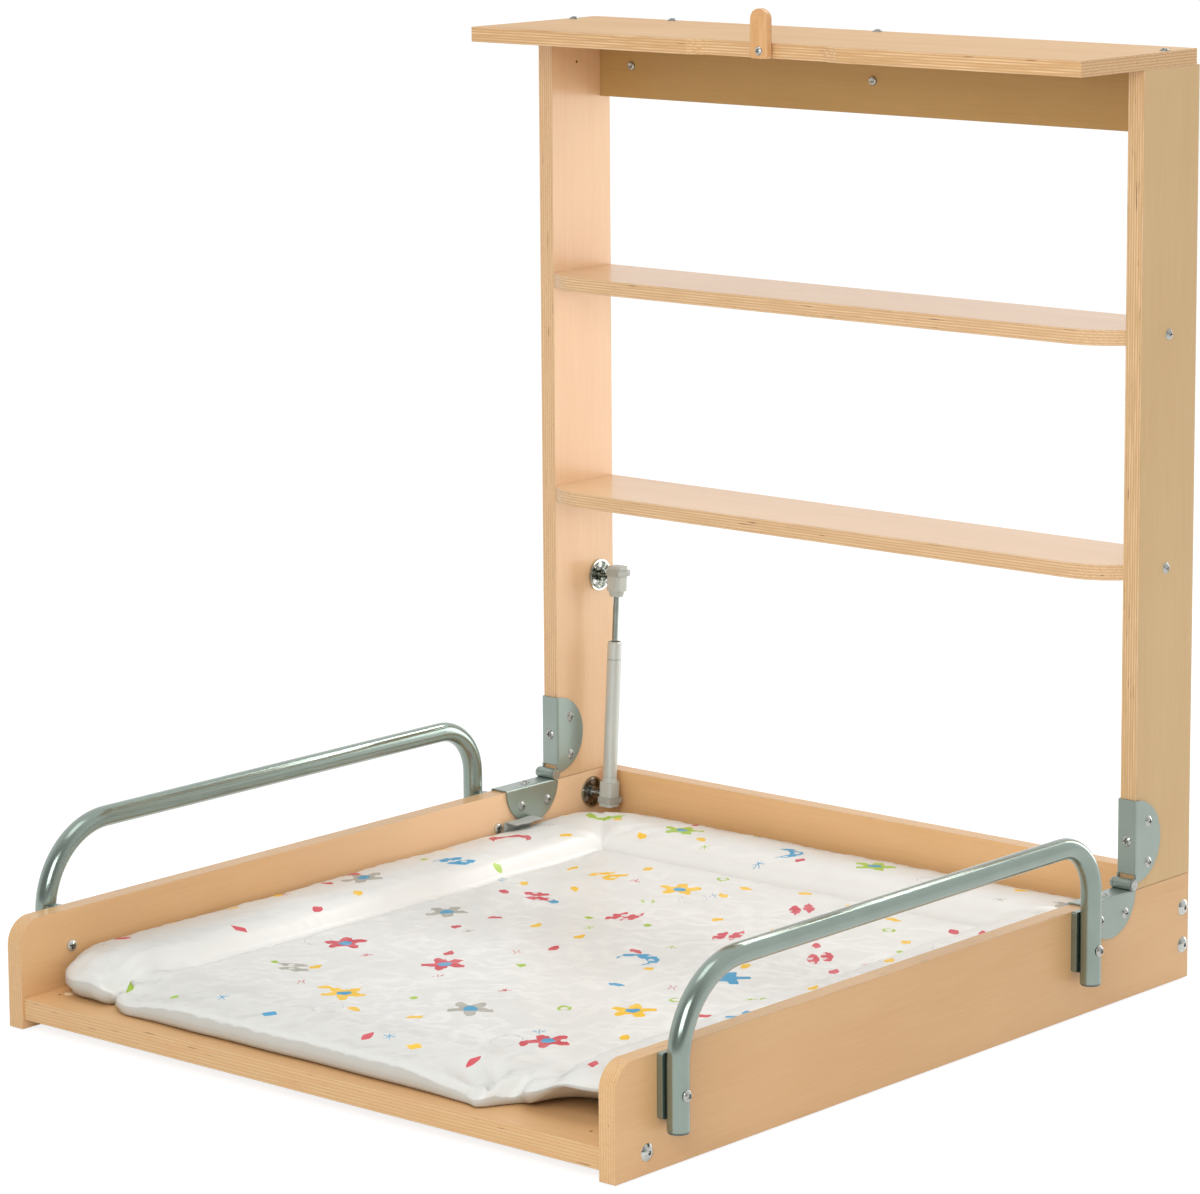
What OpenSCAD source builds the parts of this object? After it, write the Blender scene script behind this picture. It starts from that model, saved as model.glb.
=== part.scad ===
// Wall-mounted folding changing table: a plywood wall frame with shelves, a hinged
// tray with guard rails and a padded mat, a gas strut and a wooden turn latch.
// X runs along the wall, -Y points away from it and +Z is up. The origin is the
// middle wall screw hole, on the wall.

/* [Frame] */
// Width over the uprights, and over the tray's side boards
frame_w = 750; // [640:5:820]
// Thickness of the uprights and of the tray's side and rear boards
panel_t = 18; // [15:1:21]
// Height of an upright
upright_h = 778; // [700:2:850]
// Depth of an upright
upright_d = 90; // [80:1:110]
// Thickness of the shelves, the top board and the wall rail
shelf_t = 15; // [12:1:18]
// Height of the lower shelf's top above the foot of the uprights
lower_shelf_h = 312; // [290:2:350]
// Height of the upper shelf's top above the foot of the uprights
upper_shelf_h = 535; // [480:2:600]
// How far a shelf stands out in front of the uprights
shelf_nose = 22; // [10:1:35]
// Length of a shelf's rounded front corner along the shelf
nose_run = 50; // [30:1:80]
// Height of the wall rail
rail_h = 66; // [56:1:90]

/* [Wall screws] */
// Distance from one wall screw to the next
wall_pitch = 314; // [240:2:325]
// Radius of a wall screw hole
wall_hole_r = 2.75; // [2:0.25:4]

/* [Top board] */
// Depth of the shallow notch in the front edge
notch_d = 7; // [4:0.5:12]
// Length of the notch at its bottom
notch_w = 142; // [80:2:200]
// Length of each sloping end of the notch
notch_run = 23; // [10:1:40]
// Radius of the board's two wall-side corners
rear_corner_r = 6; // [2:1:12]
// Distance of the rail screw beside the middle one
rail_screw_x = 265; // [150:5:300]

/* [Tray] */
// Depth of the tray from the wall to its front
tray_l = 846; // [780:2:880]
// Height of the side boards
side_h = 103; // [95:1:120]
// Radius of a side board's upper front corner
side_nose_r = 25; // [10:1:40]
// Thickness of the deck
deck_t = 20; // [15:1:24]
// Height of the deck's underside above the side boards' lower edges
deck_lift = 9; // [4:1:14]
// Distance of the deck's front edge behind the side boards' front edges
deck_setback = 2; // [0:0.5:6]
// Gap between the uprights' feet and the side boards
seat_gap = 0.4; // [0.3:0.1:1]
// Lean of the closed tray past upright, in degrees
closed_lean = 0.8; // [0:0.05:0.9]

/* [Hinges] */
// Thickness of the hinge sheet
sheet_t = 2; // [1.5:0.1:2.5]
// Distance of the pin from each of the two board faces it joins
pin_off = 6.2; // [6.2:0.1:7]
// Outer radius of a knuckle
knuckle_r = 5.8; // [5:0.1:5.8]
// Radius of the hinge pin
pin_r = 3; // [2.4:0.1:3.2]
// Running clearance round the hinge pin and the strut's balls
run_fit = 0.05; // [0.02:0.01:0.1]
// Length of the tray leaf's knuckle
mid_knuckle_l = 17.4; // [12:0.2:17.4]
// Axial gap between two knuckles
knuckle_gap = 0.3; // [0.2:0.05:0.5]
// Radius of the half-round cheeks
cheek_r = 40; // [34:1:44]
// Distance from the pin to the middle of the frame's leaf
frame_leaf_mid = 41; // [40:1:50]
// Distance from the pin to the middle of the tray's leaf
tray_leaf_mid = 36; // [34:1:44]
// Distance from the pin to the start of a leaf's flange
leaf_start = 9; // [8:0.5:13]
// Distance of a cheek screw from the middle of the leaf
cheek_screw_run = 20; // [12:1:26]
// How far a leaf's cheek screws sit from its middle towards the pin
cheek_screw_shift = 3; // [0:0.5:5]
// Distance of a cheek screw from the board's edge
cheek_screw_in = 18; // [12:1:26]

/* [Guard rails] */
// Outer radius of the tube
tube_r = 10; // [8:0.5:12]
// Wall of the tube
tube_wall = 1.5; // [1:0.25:2.5]
// Height of the tube's centre line above the side boards
rail_rise = 70; // [55:1:90]
// Distance of the front leg from the front of the tray
leg_inset = 63; // [50:1:100]
// Gap between a tray leaf of the hinges and the rear leg's spacer
rear_leg_gap = 3.8; // [2:0.2:40]
// Height of the legs' lower ends above the side boards' lower edges
leg_foot = 36; // [25:1:45]
// Radius of the front bend
front_bend_r = 80; // [50:1:100]
// Radius of the rear bend
rear_bend_r = 50; // [35:1:80]
// Thickness of the spacer between a leg and the side board
spacer_t = 6; // [4:0.5:10]
// Width of a spacer
spacer_w = 18; // [12:1:20]
// Height of a spacer
spacer_h = 58; // [45:1:64]
// Height of the spacers' middle above the side boards' lower edges
spacer_mid = 74; // [65:1:78]
// Height of the rail bolts above the side boards' lower edges
rail_bolt_h = 68; // [60:1:78]

/* [Gas strut] */
// Distance of the upper ball from the wall
upper_ball_y = 22; // [19:1:40]
// Height of the upper ball above the foot of the uprights
upper_ball_h = 208; // [190:1:240]
// Distance of the lower ball from the wall
lower_ball_y = 37; // [35:1:50]
// Depth of the lower ball below the side boards' upper edges
lower_ball_drop = 23; // [20:1:30]
// Distance of the balls from the board that carries them
ball_reach = 25; // [20:1:30]
// Radius of a ball
ball_r = 5; // [4:0.5:6]
// Radius of a mounting plate
plate_r = 16.5; // [14:0.5:18]
// Thickness of a mounting plate
plate_t = 2; // [1.5:0.25:3]
// Gap under the foot of the lower ball stud
foot_gap = 0.4; // [0.3:0.05:0.6]
// Outer radius of the cylinder
cylinder_r = 7.5; // [6:0.5:9]
// Wall of the cylinder
cylinder_wall = 1.2; // [0.8:0.1:1.8]
// Length of the cylinder
cylinder_l = 144; // [130:1:150]
// Radius of the rod
rod_r = 3; // [2:0.25:4]
// Length of the rod from the upper ball to the piston's far side
rod_l = 160; // [156:1:170]
// Width of a socket
socket_w = 17; // [15:0.5:19]
// Length of a socket from the ball to the rod or cylinder
socket_l = 20; // [18:1:24]
// Length of a socket past the ball
socket_end = 12; // [9:0.5:13]

/* [Latch] */
// Width of the latch bar
latch_w = 21; // [16:1:28]
// Reach of the latch bar above its screw
latch_reach = 40.5; // [34:0.5:50]
// Length of the latch bar below its screw
latch_tail = 7.5; // [7:0.5:12]
// Thickness of the latch bar
latch_t = 7; // [5:0.5:10]
// Thickness of the washer behind the latch bar
latch_washer_t = 2.5; // [1.5:0.25:4]
// Gap between the latch bar and the closed deck
latch_gap = 0.8; // [0.4:0.1:2]

/* [Mat] */
// Gap between the mat and the side boards
mat_side_gap = 14; // [8:1:30]
// Gap between the mat and the rear board
mat_rear_gap = 16; // [12:1:40]
// Distance of the mat's front from the front of the tray
mat_front_gap = 26; // [10:1:60]
// Thickness of the mat's flat middle
mat_t = 26; // [20:1:32]
// Height of the mat's raised borders
border_h = 41; // [34:1:42]
// Width of the raised borders
border_w = 96; // [70:1:130]
// How far the top of a raised border is set in from its sides
border_edge = 16; // [10:1:20]
// How far the top of the flat middle is set in from its sides
middle_edge = 8; // [4:1:16]
// Gap between the mat and the deck under it
mat_gap = 0.3; // [0.2:0.1:0.5]
// Width of a mat strap
strap_w = 42; // [25:1:50]
// Thickness of a mat strap
strap_t = 1.5; // [1:0.1:2]
// Distance of a strap's middle in front of the hinge pins
strap_run = 58.8; // [40:0.2:120]
// Height of a strap above the deck
strap_rise = 31; // [20:1:32]
// How far a strap runs down the side board
strap_drop = 12; // [8:1:18]

/* [Fasteners] */
// Radius of a wood screw's domed head
screw_head_r = 5.5; // [4:0.25:6]
// Height of a wood screw's domed head
screw_head_h = 2.6; // [2:0.2:3.2]
// Radius of a wood screw's shank
screw_r = 2.2; // [1.5:0.1:2.5]
// Radius of a connector bolt's head
bolt_head_r = 8; // [6:0.25:9]
// Height of a connector bolt's head
bolt_head_h = 3.2; // [2:0.25:4]
// Radius of a connector bolt's shank
bolt_r = 3; // [2.5:0.25:4]
// Clearance round a shank in its hole
hole_fit = 0.1; // [0.05:0.05:0.3]
// Radius of a barrel nut
barrel_r = 5; // [4.5:0.25:6]
// Length of a barrel nut
barrel_l = 14; // [12:0.5:15]
// Distance of a barrel nut's middle from the side board
barrel_in = 20; // [14:1:30]
// Distance of the deck's connector bolts from the front of the tray
deck_bolt_inset = 41; // [30:1:60]

/* [Hidden] */
$fn = 64;

ply = "burlywood";
grey_paint = "lightslategray";
zinc = "silver";
plastic = "darkgray";

// Heights and places that several pieces share
inner_w = frame_w - 2*panel_t;
board_x = (frame_w - panel_t)/2;
top_z = rail_h/2;
foot_z = top_z - upright_h;
tray_top_z = foot_z - seat_gap;
tray_foot_z = tray_top_z - side_h;
deck_foot_z = tray_foot_z + deck_lift;
deck_top_z = deck_foot_z + deck_t;
pin_y = -upright_d - pin_off;
pin_z = tray_top_z + pin_off;

// The latch bar turns just in front of the deck's underside when the tray is closed
deck_edge_y = -tray_l + deck_setback - pin_y;
deck_edge_z = deck_foot_z - pin_z;
closed_angle = 90 + closed_lean;
closed_deck_y = pin_y + deck_edge_y*cos(closed_angle) + deck_edge_z*sin(closed_angle);
latch_back_y = closed_deck_y - latch_gap;
notch_y = latch_back_y + latch_washer_t;
top_front_y = notch_y - notch_d;
latch_z = top_z + shelf_t/2;

// Screws and bolts
shelf_screw_y = -upright_d/2;
screw_l = 40;
leaf_screw_l = 8;
head_recess = 1.6;
side_bolt_l = 40;
rear_bolt_heights = [33, 70];
rear_bolt_y = -panel_t/2;
deck_bolt_y = -tray_l + deck_bolt_inset;
barrel_hole_l = barrel_l + 1;
deck_bolt_z = deck_foot_z + deck_t/2;
deck_screw_pitch = 280;
dowel_r = 4;
dowel_l = 30;
dowel_pitch = 34;

// Guard rails
rail_x = frame_w/2 + spacer_t + tube_r;
rail_z = tray_top_z + rail_rise;
leg_foot_z = tray_foot_z + leg_foot;
front_leg_y = -tray_l + leg_inset;
rear_leg_y = pin_y - tray_leaf_mid - cheek_r - rear_leg_gap - spacer_w/2;
rail_bolt_z = tray_foot_z + rail_bolt_h;
rail_nut_r = 5.5;
rail_nut_h = 2;
sleeve_r = 4;
sleeve_l = panel_t - 3;
plug_cap = 2;
plug_l = 12;

// Half-widths of the knuckles' ends: the tray leaf's knuckle is the middle one
ear_out = panel_t/2 + sheet_t;
ear_in = mid_knuckle_l/2 + knuckle_gap;
ears = [[-ear_out, -ear_in], [ear_in, ear_out]];
middle = [[-mid_knuckle_l/2, mid_knuckle_l/2]];

// Gas strut, with its axis along -Z from the upper ball before it is leant over
ball_x = -inner_w/2 + ball_reach;
upper_ball = [ball_x, -upper_ball_y, foot_z + upper_ball_h];
lower_ball = [ball_x, -lower_ball_y, tray_top_z - lower_ball_drop];
strut_l = norm(lower_ball - upper_ball);
strut_lean = atan2(lower_ball_y - upper_ball_y, upper_ball[2] - lower_ball[2]);
cylinder_end = -strut_l + socket_l;
cylinder_top = cylinder_end + cylinder_l;
neck_r = 2.6;
mouth_r = 4.2;
stud_boss_r = 6;
stud_boss_l = 5;
foot_t = 3;
plate_screw_ring = 11;
plate_screws = 3;
plate_screw_head_r = 3;
plate_screw_r = 1.6;
plate_screw_l = 12;
socket_corner_r = 4;
socket_taper = 6;
socket_bore = 8;
piston_l = 10;
guide_l = 14;
cap_l = 3;
crimp_d = 0.4;
crimp_at = 20;
crimp_l = 1.6;
clip_t = 1;
clip_l = 6;

// Mat
mat_w = inner_w - 2*mat_side_gap;
mat_rear_y = -panel_t - mat_rear_gap;
mat_front_y = -tray_l + mat_front_gap;
mat_foot_z = deck_top_z + mat_gap;
mat_corner_r = 22;
strap_mid_y = pin_y - strap_run;
strap_z = deck_top_z + strap_rise;
strap_lap = 4;

// ---- Shapes that several pieces share ----

// Moves its children to both sides of the table, mirrored
module both_sides() {
  for (side = [0, 1]) mirror([side, 0, 0]) children();
}

// A bar along X from the origin
module x_rod(r, l) {
  rotate([0, 90, 0]) cylinder(r = r, h = l);
}

// A rectangle from the origin with four rounded corners
module round_rect(w, h, r) {
  translate([r, 0]) square([w - 2*r, h]);
  translate([0, r]) square([w, h - 2*r]);
  for (x = [r, w - r], y = [r, h - r]) translate([x, y]) circle(r);
}

// A screw that stands on the XY plane with its dome up and its shank down
module dome_screw(head_r, head_h, shank_r, shank_l, slot_l) {
  dome_r = (head_r*head_r + head_h*head_h)/(2*head_h);
  difference() {
    intersection() {
      translate([0, 0, head_h - dome_r]) sphere(dome_r);
      cylinder(r = head_r, h = head_h);
    }
    for (turn = [0, 90])
      rotate([0, 0, turn])
        translate([-slot_l/2, -0.6, head_h - head_recess]) cube([slot_l, 1.2, head_h]);
  }
  translate([0, 0, -shank_l]) cylinder(r = shank_r, h = shank_l);
}

module wood_screw(shank_l) {
  dome_screw(screw_head_r, screw_head_h, screw_r, shank_l, screw_head_r);
}

// A connector bolt with a hexagon socket, placed as a dome_screw is
module hex_bolt(head_r, shank_l) {
  dome_r = (head_r*head_r + bolt_head_h*bolt_head_h)/(2*bolt_head_h);
  difference() {
    intersection() {
      translate([0, 0, bolt_head_h - dome_r]) sphere(dome_r);
      cylinder(r = head_r, h = bolt_head_h);
    }
    translate([0, 0, bolt_head_h - head_recess]) cylinder(r = 2.3, h = bolt_head_h, $fn = 6);
  }
  translate([0, 0, -shank_l]) cylinder(r = bolt_r, h = shank_l);
}

// ---- Wall frame ----

// Places its children at the end of each shelf, at the upright's outer face
module at_shelf_screws() {
  for (h = [lower_shelf_h, upper_shelf_h])
    translate([frame_w/2, shelf_screw_y, foot_z + h - shelf_t/2]) rotate([0, 90, 0]) children();
}

// Places its children at the screws of a leaf that runs up along Z from its pin
module at_leaf_screws(mid) {
  translate([0, pin_off - sheet_t, mid]) rotate([90, 0, 0]) children();
  for (side = [-1, 1], run = [-1, 1])
    translate([side*(panel_t/2 + sheet_t), pin_off + cheek_screw_in,
               mid - cheek_screw_shift + run*cheek_screw_run])
      rotate([0, side*90, 0]) children();
}

module at_frame_leaf_screws() {
  translate([board_x, pin_y, pin_z]) at_leaf_screws(frame_leaf_mid) children();
}

// The tray's leaf lies along the side board's upper edge
module at_tray_leaf_screws() {
  translate([board_x, pin_y, pin_z]) mirror([0, 1, 1]) at_leaf_screws(tray_leaf_mid) children();
}

module dowel_places() {
  for (z = [-dowel_pitch/2, dowel_pitch/2])
    translate([inner_w/2 - dowel_l/2, -shelf_t/2, z]) children();
}

module upright() {
  difference() {
    translate([frame_w/2 - panel_t, -upright_d, foot_z]) cube([panel_t, upright_d, upright_h]);
    at_shelf_screws() translate([0, 0, -panel_t - 1]) cylinder(r = screw_r + hole_fit, h = panel_t + 2);
    at_frame_leaf_screws() translate([0, 0, -leaf_screw_l - 1])
      cylinder(r = screw_r + hole_fit, h = leaf_screw_l + 2);
    dowel_places() x_rod(dowel_r + hole_fit, dowel_l);
    translate([board_x, shelf_screw_y, top_z - screw_l]) cylinder(r = screw_r + hole_fit, h = screw_l + 1);
  }
}

module left_upright() {
  color(ply) difference() {
    mirror([1, 0, 0]) upright();
    translate([-inner_w/2 - plate_screw_l, upper_ball[1], upper_ball[2]])
      plate_screw_ring() x_rod(plate_screw_r + hole_fit, plate_screw_l + 1);
  }
}

module right_upright() {
  color(ply) upright();
}

// Outline of the top board, with the notch that the latch stands in
module top_outline() {
  w = frame_w/2;
  difference() {
    union() {
      translate([-w, top_front_y]) square([frame_w, -top_front_y - rear_corner_r]);
      translate([-w + rear_corner_r, top_front_y])
        square([frame_w - 2*rear_corner_r, -top_front_y]);
      for (side = [-1, 1]) translate([side*(w - rear_corner_r), -rear_corner_r]) circle(rear_corner_r);
    }
    polygon([[-notch_w/2 - notch_run, top_front_y], [-notch_w/2, notch_y],
             [notch_w/2, notch_y], [notch_w/2 + notch_run, top_front_y],
             [notch_w/2 + notch_run, top_front_y - 1], [-notch_w/2 - notch_run, top_front_y - 1]]);
  }
}

// Places its children at the four screws through the top board
module at_top_screws() {
  for (x = [-board_x, board_x]) translate([x, shelf_screw_y, top_z + shelf_t]) children();
  for (x = [-rail_screw_x, 0]) translate([x, -shelf_t/2, top_z + shelf_t]) children();
}

module top_board() {
  color(ply) difference() {
    translate([0, 0, top_z]) linear_extrude(shelf_t) top_outline();
    at_top_screws() translate([0, 0, -shelf_t - 1]) cylinder(r = screw_r + hole_fit, h = shelf_t + 2);
    translate([0, notch_y - 1, latch_z]) rotate([-90, 0, 0]) cylinder(r = screw_r + hole_fit, h = screw_l);
  }
}

module top_screws() {
  color(zinc) at_top_screws() wood_screw(screw_l);
}

module wall_rail() {
  color(ply) difference() {
    translate([-inner_w/2, -shelf_t, -rail_h/2]) cube([inner_w, shelf_t, rail_h]);
    for (i = [-1:1])
      translate([i*wall_pitch, 1, 0]) rotate([90, 0, 0]) cylinder(r = wall_hole_r, h = shelf_t + 2);
    both_sides() dowel_places() x_rod(dowel_r + hole_fit, dowel_l);
    for (x = [-rail_screw_x, 0])
      translate([x, -shelf_t/2, top_z - screw_l + shelf_t])
        cylinder(r = screw_r + hole_fit, h = screw_l);
  }
}

module rail_dowels() {
  color(ply) both_sides() dowel_places() translate([1, 0, 0]) x_rod(dowel_r, dowel_l - 2);
}

// A shelf whose front corners are arcs that meet the uprights' front faces
module shelf(h) {
  nose_r = (nose_run*nose_run + shelf_nose*shelf_nose)/(2*shelf_nose);
  front_y = -upright_d - shelf_nose;
  color(ply) difference() {
    translate([0, 0, foot_z + h - shelf_t]) linear_extrude(shelf_t) intersection() {
      translate([-inner_w/2, front_y]) square([inner_w, -front_y]);
      union() {
        translate([-inner_w/2, -upright_d]) square([inner_w, upright_d]);
        translate([-inner_w/2 + nose_run, front_y]) square([inner_w - 2*nose_run, -front_y]);
        for (side = [-1, 1]) translate([side*(inner_w/2 - nose_run), front_y + nose_r]) circle(nose_r);
      }
    }
    both_sides() at_shelf_screws() translate([0, 0, -screw_l]) cylinder(r = screw_r + hole_fit, h = screw_l);
  }
}

module upper_shelf() {
  shelf(upper_shelf_h);
}

module lower_shelf() {
  shelf(lower_shelf_h);
}

module shelf_screws() {
  color(zinc) both_sides() at_shelf_screws() wood_screw(screw_l);
}

// ---- Hinges ----

// Folded sheet that hugs a board's edge, with its pin along X through the origin.
// The sheet runs up along Z on the board face at Y = pin_off. Each pair of X values
// in knuckles is a knuckle of this leaf, and in cleared one of the other leaf.
module leaf(mid, knuckles, cleared) {
  w = panel_t + 2*sheet_t;
  face_y = pin_off - sheet_t;
  foot = mid - cheek_r;
  difference() {
    union() {
      difference() {
        intersection() {
          translate([-w/2, face_y, foot]) linear_extrude(2*cheek_r) difference() {
            union() {
              translate([sheet_t, 0]) square([w - 2*sheet_t, cheek_r]);
              translate([0, sheet_t]) square([w, cheek_r - sheet_t]);
              for (x = [sheet_t, w - sheet_t]) translate([x, sheet_t]) circle(sheet_t);
            }
            translate([sheet_t, sheet_t]) square([panel_t, cheek_r]);
          }
          translate([-w/2, face_y, mid]) x_rod(cheek_r, w);
        }
        translate([-panel_t/2, face_y - 1, foot - 1])
          cube([panel_t, sheet_t + 1.5, leaf_start - foot + 1]);
        for (k = cleared) translate([k[0], 0, 0]) x_rod(knuckle_r + knuckle_gap, k[1] - k[0]);
      }
      for (k = knuckles) translate([k[0], 0, 0]) {
        x_rod(knuckle_r, k[1] - k[0]);
        translate([0, face_y, 0]) cube([k[1] - k[0], sheet_t, leaf_start]);
      }
    }
    translate([-w/2 - 1, 0, 0]) x_rod(pin_r + run_fit, w + 2);
    at_leaf_screws(mid) translate([0, 0, -sheet_t - 1]) cylinder(r = screw_r + hole_fit, h = sheet_t + 2);
  }
}

module frame_leaf() {
  translate([board_x, pin_y, pin_z]) leaf(frame_leaf_mid, ears, middle);
}

module tray_leaf() {
  translate([board_x, pin_y, pin_z]) mirror([0, 1, 1]) leaf(tray_leaf_mid, middle, ears);
}

module left_frame_leaf() {
  color(grey_paint) mirror([1, 0, 0]) frame_leaf();
}

module right_frame_leaf() {
  color(grey_paint) frame_leaf();
}

module left_tray_leaf() {
  color(grey_paint) mirror([1, 0, 0]) tray_leaf();
}

module right_tray_leaf() {
  color(grey_paint) tray_leaf();
}

module frame_leaf_screws() {
  color(zinc) both_sides() at_frame_leaf_screws() wood_screw(leaf_screw_l);
}

module tray_leaf_screws() {
  color(zinc) both_sides() at_tray_leaf_screws() wood_screw(leaf_screw_l);
}

module hinge_pin() {
  pin_head_t = 1.6;
  pin_head_r = 5;
  outer = ear_out + run_fit;
  color(zinc) translate([board_x, pin_y, pin_z]) {
    translate([-outer, 0, 0]) x_rod(pin_r, 2*outer);
    for (x = [-outer - pin_head_t, outer]) translate([x, 0, 0]) x_rod(pin_head_r, pin_head_t);
  }
}

module left_hinge_pin() {
  mirror([1, 0, 0]) hinge_pin();
}

module right_hinge_pin() {
  hinge_pin();
}

// ---- Latch ----

module latch() {
  color(ply) translate([0, latch_back_y, latch_z]) rotate([90, 0, 0]) linear_extrude(latch_t) difference() {
    union() {
      translate([-latch_w/2, -latch_tail]) round_rect(latch_w, latch_tail + latch_w/2, 3);
      translate([-latch_w/2, 0]) square([latch_w, latch_reach - latch_w/2]);
      translate([0, latch_reach - latch_w/2]) circle(latch_w/2);
    }
    circle(screw_r + hole_fit);
  }
}

module latch_washer() {
  color(zinc) translate([0, notch_y, latch_z]) rotate([90, 0, 0]) difference() {
    cylinder(r = screw_head_r, h = latch_washer_t);
    translate([0, 0, -1]) cylinder(r = screw_r + hole_fit, h = latch_washer_t + 2);
  }
}

module latch_screw() {
  color(zinc) translate([0, latch_back_y - latch_t, latch_z]) rotate([90, 0, 0])
    translate([0, 0, hole_fit]) dome_screw(4.4, 2.4, screw_r, screw_l, 4.4);
}

// ---- Tray ----

// Places its children at the connector bolts of one side board, at its outer face
module at_board_bolts() {
  for (h = rear_bolt_heights)
    translate([frame_w/2, rear_bolt_y, tray_foot_z + h]) rotate([0, 90, 0]) children();
  translate([frame_w/2, deck_bolt_y, deck_bolt_z]) rotate([0, 90, 0]) children();
}

module at_rail_legs() {
  for (y = [front_leg_y, rear_leg_y]) translate([0, y, 0]) children();
}

module side_board() {
  difference() {
    translate([frame_w/2, 0, tray_foot_z]) rotate([90, 0, -90]) linear_extrude(panel_t) union() {
      square([tray_l - side_nose_r, side_h]);
      square([tray_l, side_h - side_nose_r]);
      translate([tray_l - side_nose_r, side_h - side_nose_r]) circle(side_nose_r);
    }
    at_board_bolts() translate([0, 0, -panel_t - 1]) cylinder(r = bolt_r + hole_fit, h = panel_t + 2);
    at_rail_legs() translate([frame_w/2 - panel_t - 1, 0, rail_bolt_z]) x_rod(sleeve_r + hole_fit, panel_t + 2);
    at_tray_leaf_screws() translate([0, 0, -leaf_screw_l - 1]) cylinder(r = screw_r + hole_fit, h = leaf_screw_l + 2);
  }
}

module right_side_board() {
  color(ply) side_board();
}

module left_side_board() {
  color(ply) difference() {
    mirror([1, 0, 0]) side_board();
    translate([-inner_w/2 - plate_screw_l, lower_ball[1], lower_ball[2]])
      plate_screw_ring() x_rod(plate_screw_r + hole_fit, plate_screw_l + 1);
  }
}

// Places its children at one end's barrel nuts, which hold the connector bolts
module at_barrel_nuts() {
  for (h = rear_bolt_heights)
    translate([inner_w/2 - barrel_in, 0, tray_foot_z + h]) rotate([90, 0, 0]) children();
  translate([inner_w/2 - barrel_in, deck_bolt_y, deck_foot_z]) children();
}

module rear_board() {
  color(ply) difference() {
    translate([-inner_w/2, -panel_t, tray_foot_z]) cube([inner_w, panel_t, side_h]);
    both_sides() at_board_bolts() translate([0, 0, -panel_t - side_bolt_l]) cylinder(r = bolt_r + hole_fit, h = panel_t + side_bolt_l);
    both_sides() at_barrel_nuts() translate([0, 0, -1]) cylinder(r = barrel_r + hole_fit, h = barrel_hole_l + 1);
    at_deck_screws() cylinder(r = screw_r + hole_fit, h = 2*screw_l, center = true);
  }
}

module deck() {
  color(ply) difference() {
    translate([-inner_w/2, -tray_l + deck_setback, deck_foot_z])
      cube([inner_w, tray_l - deck_setback - panel_t, deck_t]);
    both_sides() at_board_bolts() translate([0, 0, -panel_t - side_bolt_l]) cylinder(r = bolt_r + hole_fit, h = panel_t + side_bolt_l);
    both_sides() at_barrel_nuts() translate([0, 0, -1]) cylinder(r = barrel_r + hole_fit, h = deck_t + 2);
    at_deck_screws() cylinder(r = screw_r + hole_fit, h = 2*screw_l, center = true);
  }
}

module board_bolts() {
  color(zinc) both_sides() at_board_bolts() hex_bolt(bolt_head_r, side_bolt_l);
}

module barrel_nuts() {
  color(zinc) both_sides() difference() {
    at_barrel_nuts() cylinder(r = barrel_r, h = barrel_l);
    at_board_bolts() translate([0, 0, -panel_t - side_bolt_l]) cylinder(r = bolt_r + hole_fit, h = panel_t + side_bolt_l);
  }
}

// Screws through the rear board into the deck's rear edge, with their heads at the wall
module at_deck_screws() {
  for (i = [-1:1]) translate([i*deck_screw_pitch, 0, deck_bolt_z]) rotate([-90, 0, 0]) children();
}

module deck_screws() {
  color(zinc) at_deck_screws() translate([0, 0, -screw_l]) cylinder(r = screw_r, h = screw_l - 1);
}

// ---- Guard rails ----

// One bent tube of radius r, with its middle plane at X = rail_x
module rail_tube(r) {
  straight = rail_z - leg_foot_z;
  translate([rail_x, 0, 0]) {
    translate([0, front_leg_y, leg_foot_z]) cylinder(r = r, h = straight - front_bend_r);
    translate([0, rear_leg_y, leg_foot_z]) cylinder(r = r, h = straight - rear_bend_r);
    translate([0, front_leg_y + front_bend_r, rail_z]) rotate([-90, 0, 0])
      cylinder(r = r, h = rear_leg_y - front_leg_y - front_bend_r - rear_bend_r);
    translate([0, front_leg_y + front_bend_r, rail_z - front_bend_r]) rotate([90, 0, 90]) rotate([0, 0, 90])
      rotate_extrude(angle = 90) translate([front_bend_r, 0]) circle(r);
    translate([0, rear_leg_y - rear_bend_r, rail_z - rear_bend_r]) rotate([90, 0, 90])
      rotate_extrude(angle = 90) translate([rear_bend_r, 0]) circle(r);
  }
}

module guard_rail() {
  difference() {
    rail_tube(tube_r);
    rail_tube(tube_r - tube_wall);
    at_rail_legs() translate([rail_x - tube_r - 1, 0, rail_bolt_z]) x_rod(bolt_r + hole_fit, 2*tube_r + 2);
  }
}

module left_guard_rail() {
  color(grey_paint) mirror([1, 0, 0]) guard_rail();
}

module right_guard_rail() {
  color(grey_paint) guard_rail();
}

module rail_plugs() {
  color(plastic) both_sides() at_rail_legs() translate([rail_x, 0, leg_foot_z]) {
    translate([0, 0, -plug_cap]) cylinder(r1 = tube_r - 1, r2 = tube_r, h = plug_cap);
    cylinder(r = tube_r - tube_wall - hole_fit, h = plug_l);
  }
}

module rail_spacers() {
  spacer_r = 3;
  color(grey_paint) both_sides() at_rail_legs()
    translate([frame_w/2, 0, tray_foot_z + spacer_mid]) rotate([90, 0, 90]) linear_extrude(spacer_t)
      difference() {
        translate([-spacer_w/2, -spacer_h/2]) round_rect(spacer_w, spacer_h, spacer_r);
        translate([0, rail_bolt_h - spacer_mid]) circle(bolt_r + hole_fit);
      }
}

module rail_bolts() {
  bolt_l = 2*tube_r + spacer_t + panel_t - 5;
  color(zinc) both_sides() at_rail_legs() translate([rail_x + tube_r, 0, rail_bolt_z])
    rotate([0, 90, 0]) hex_bolt(screw_head_r, bolt_l);
}

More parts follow.
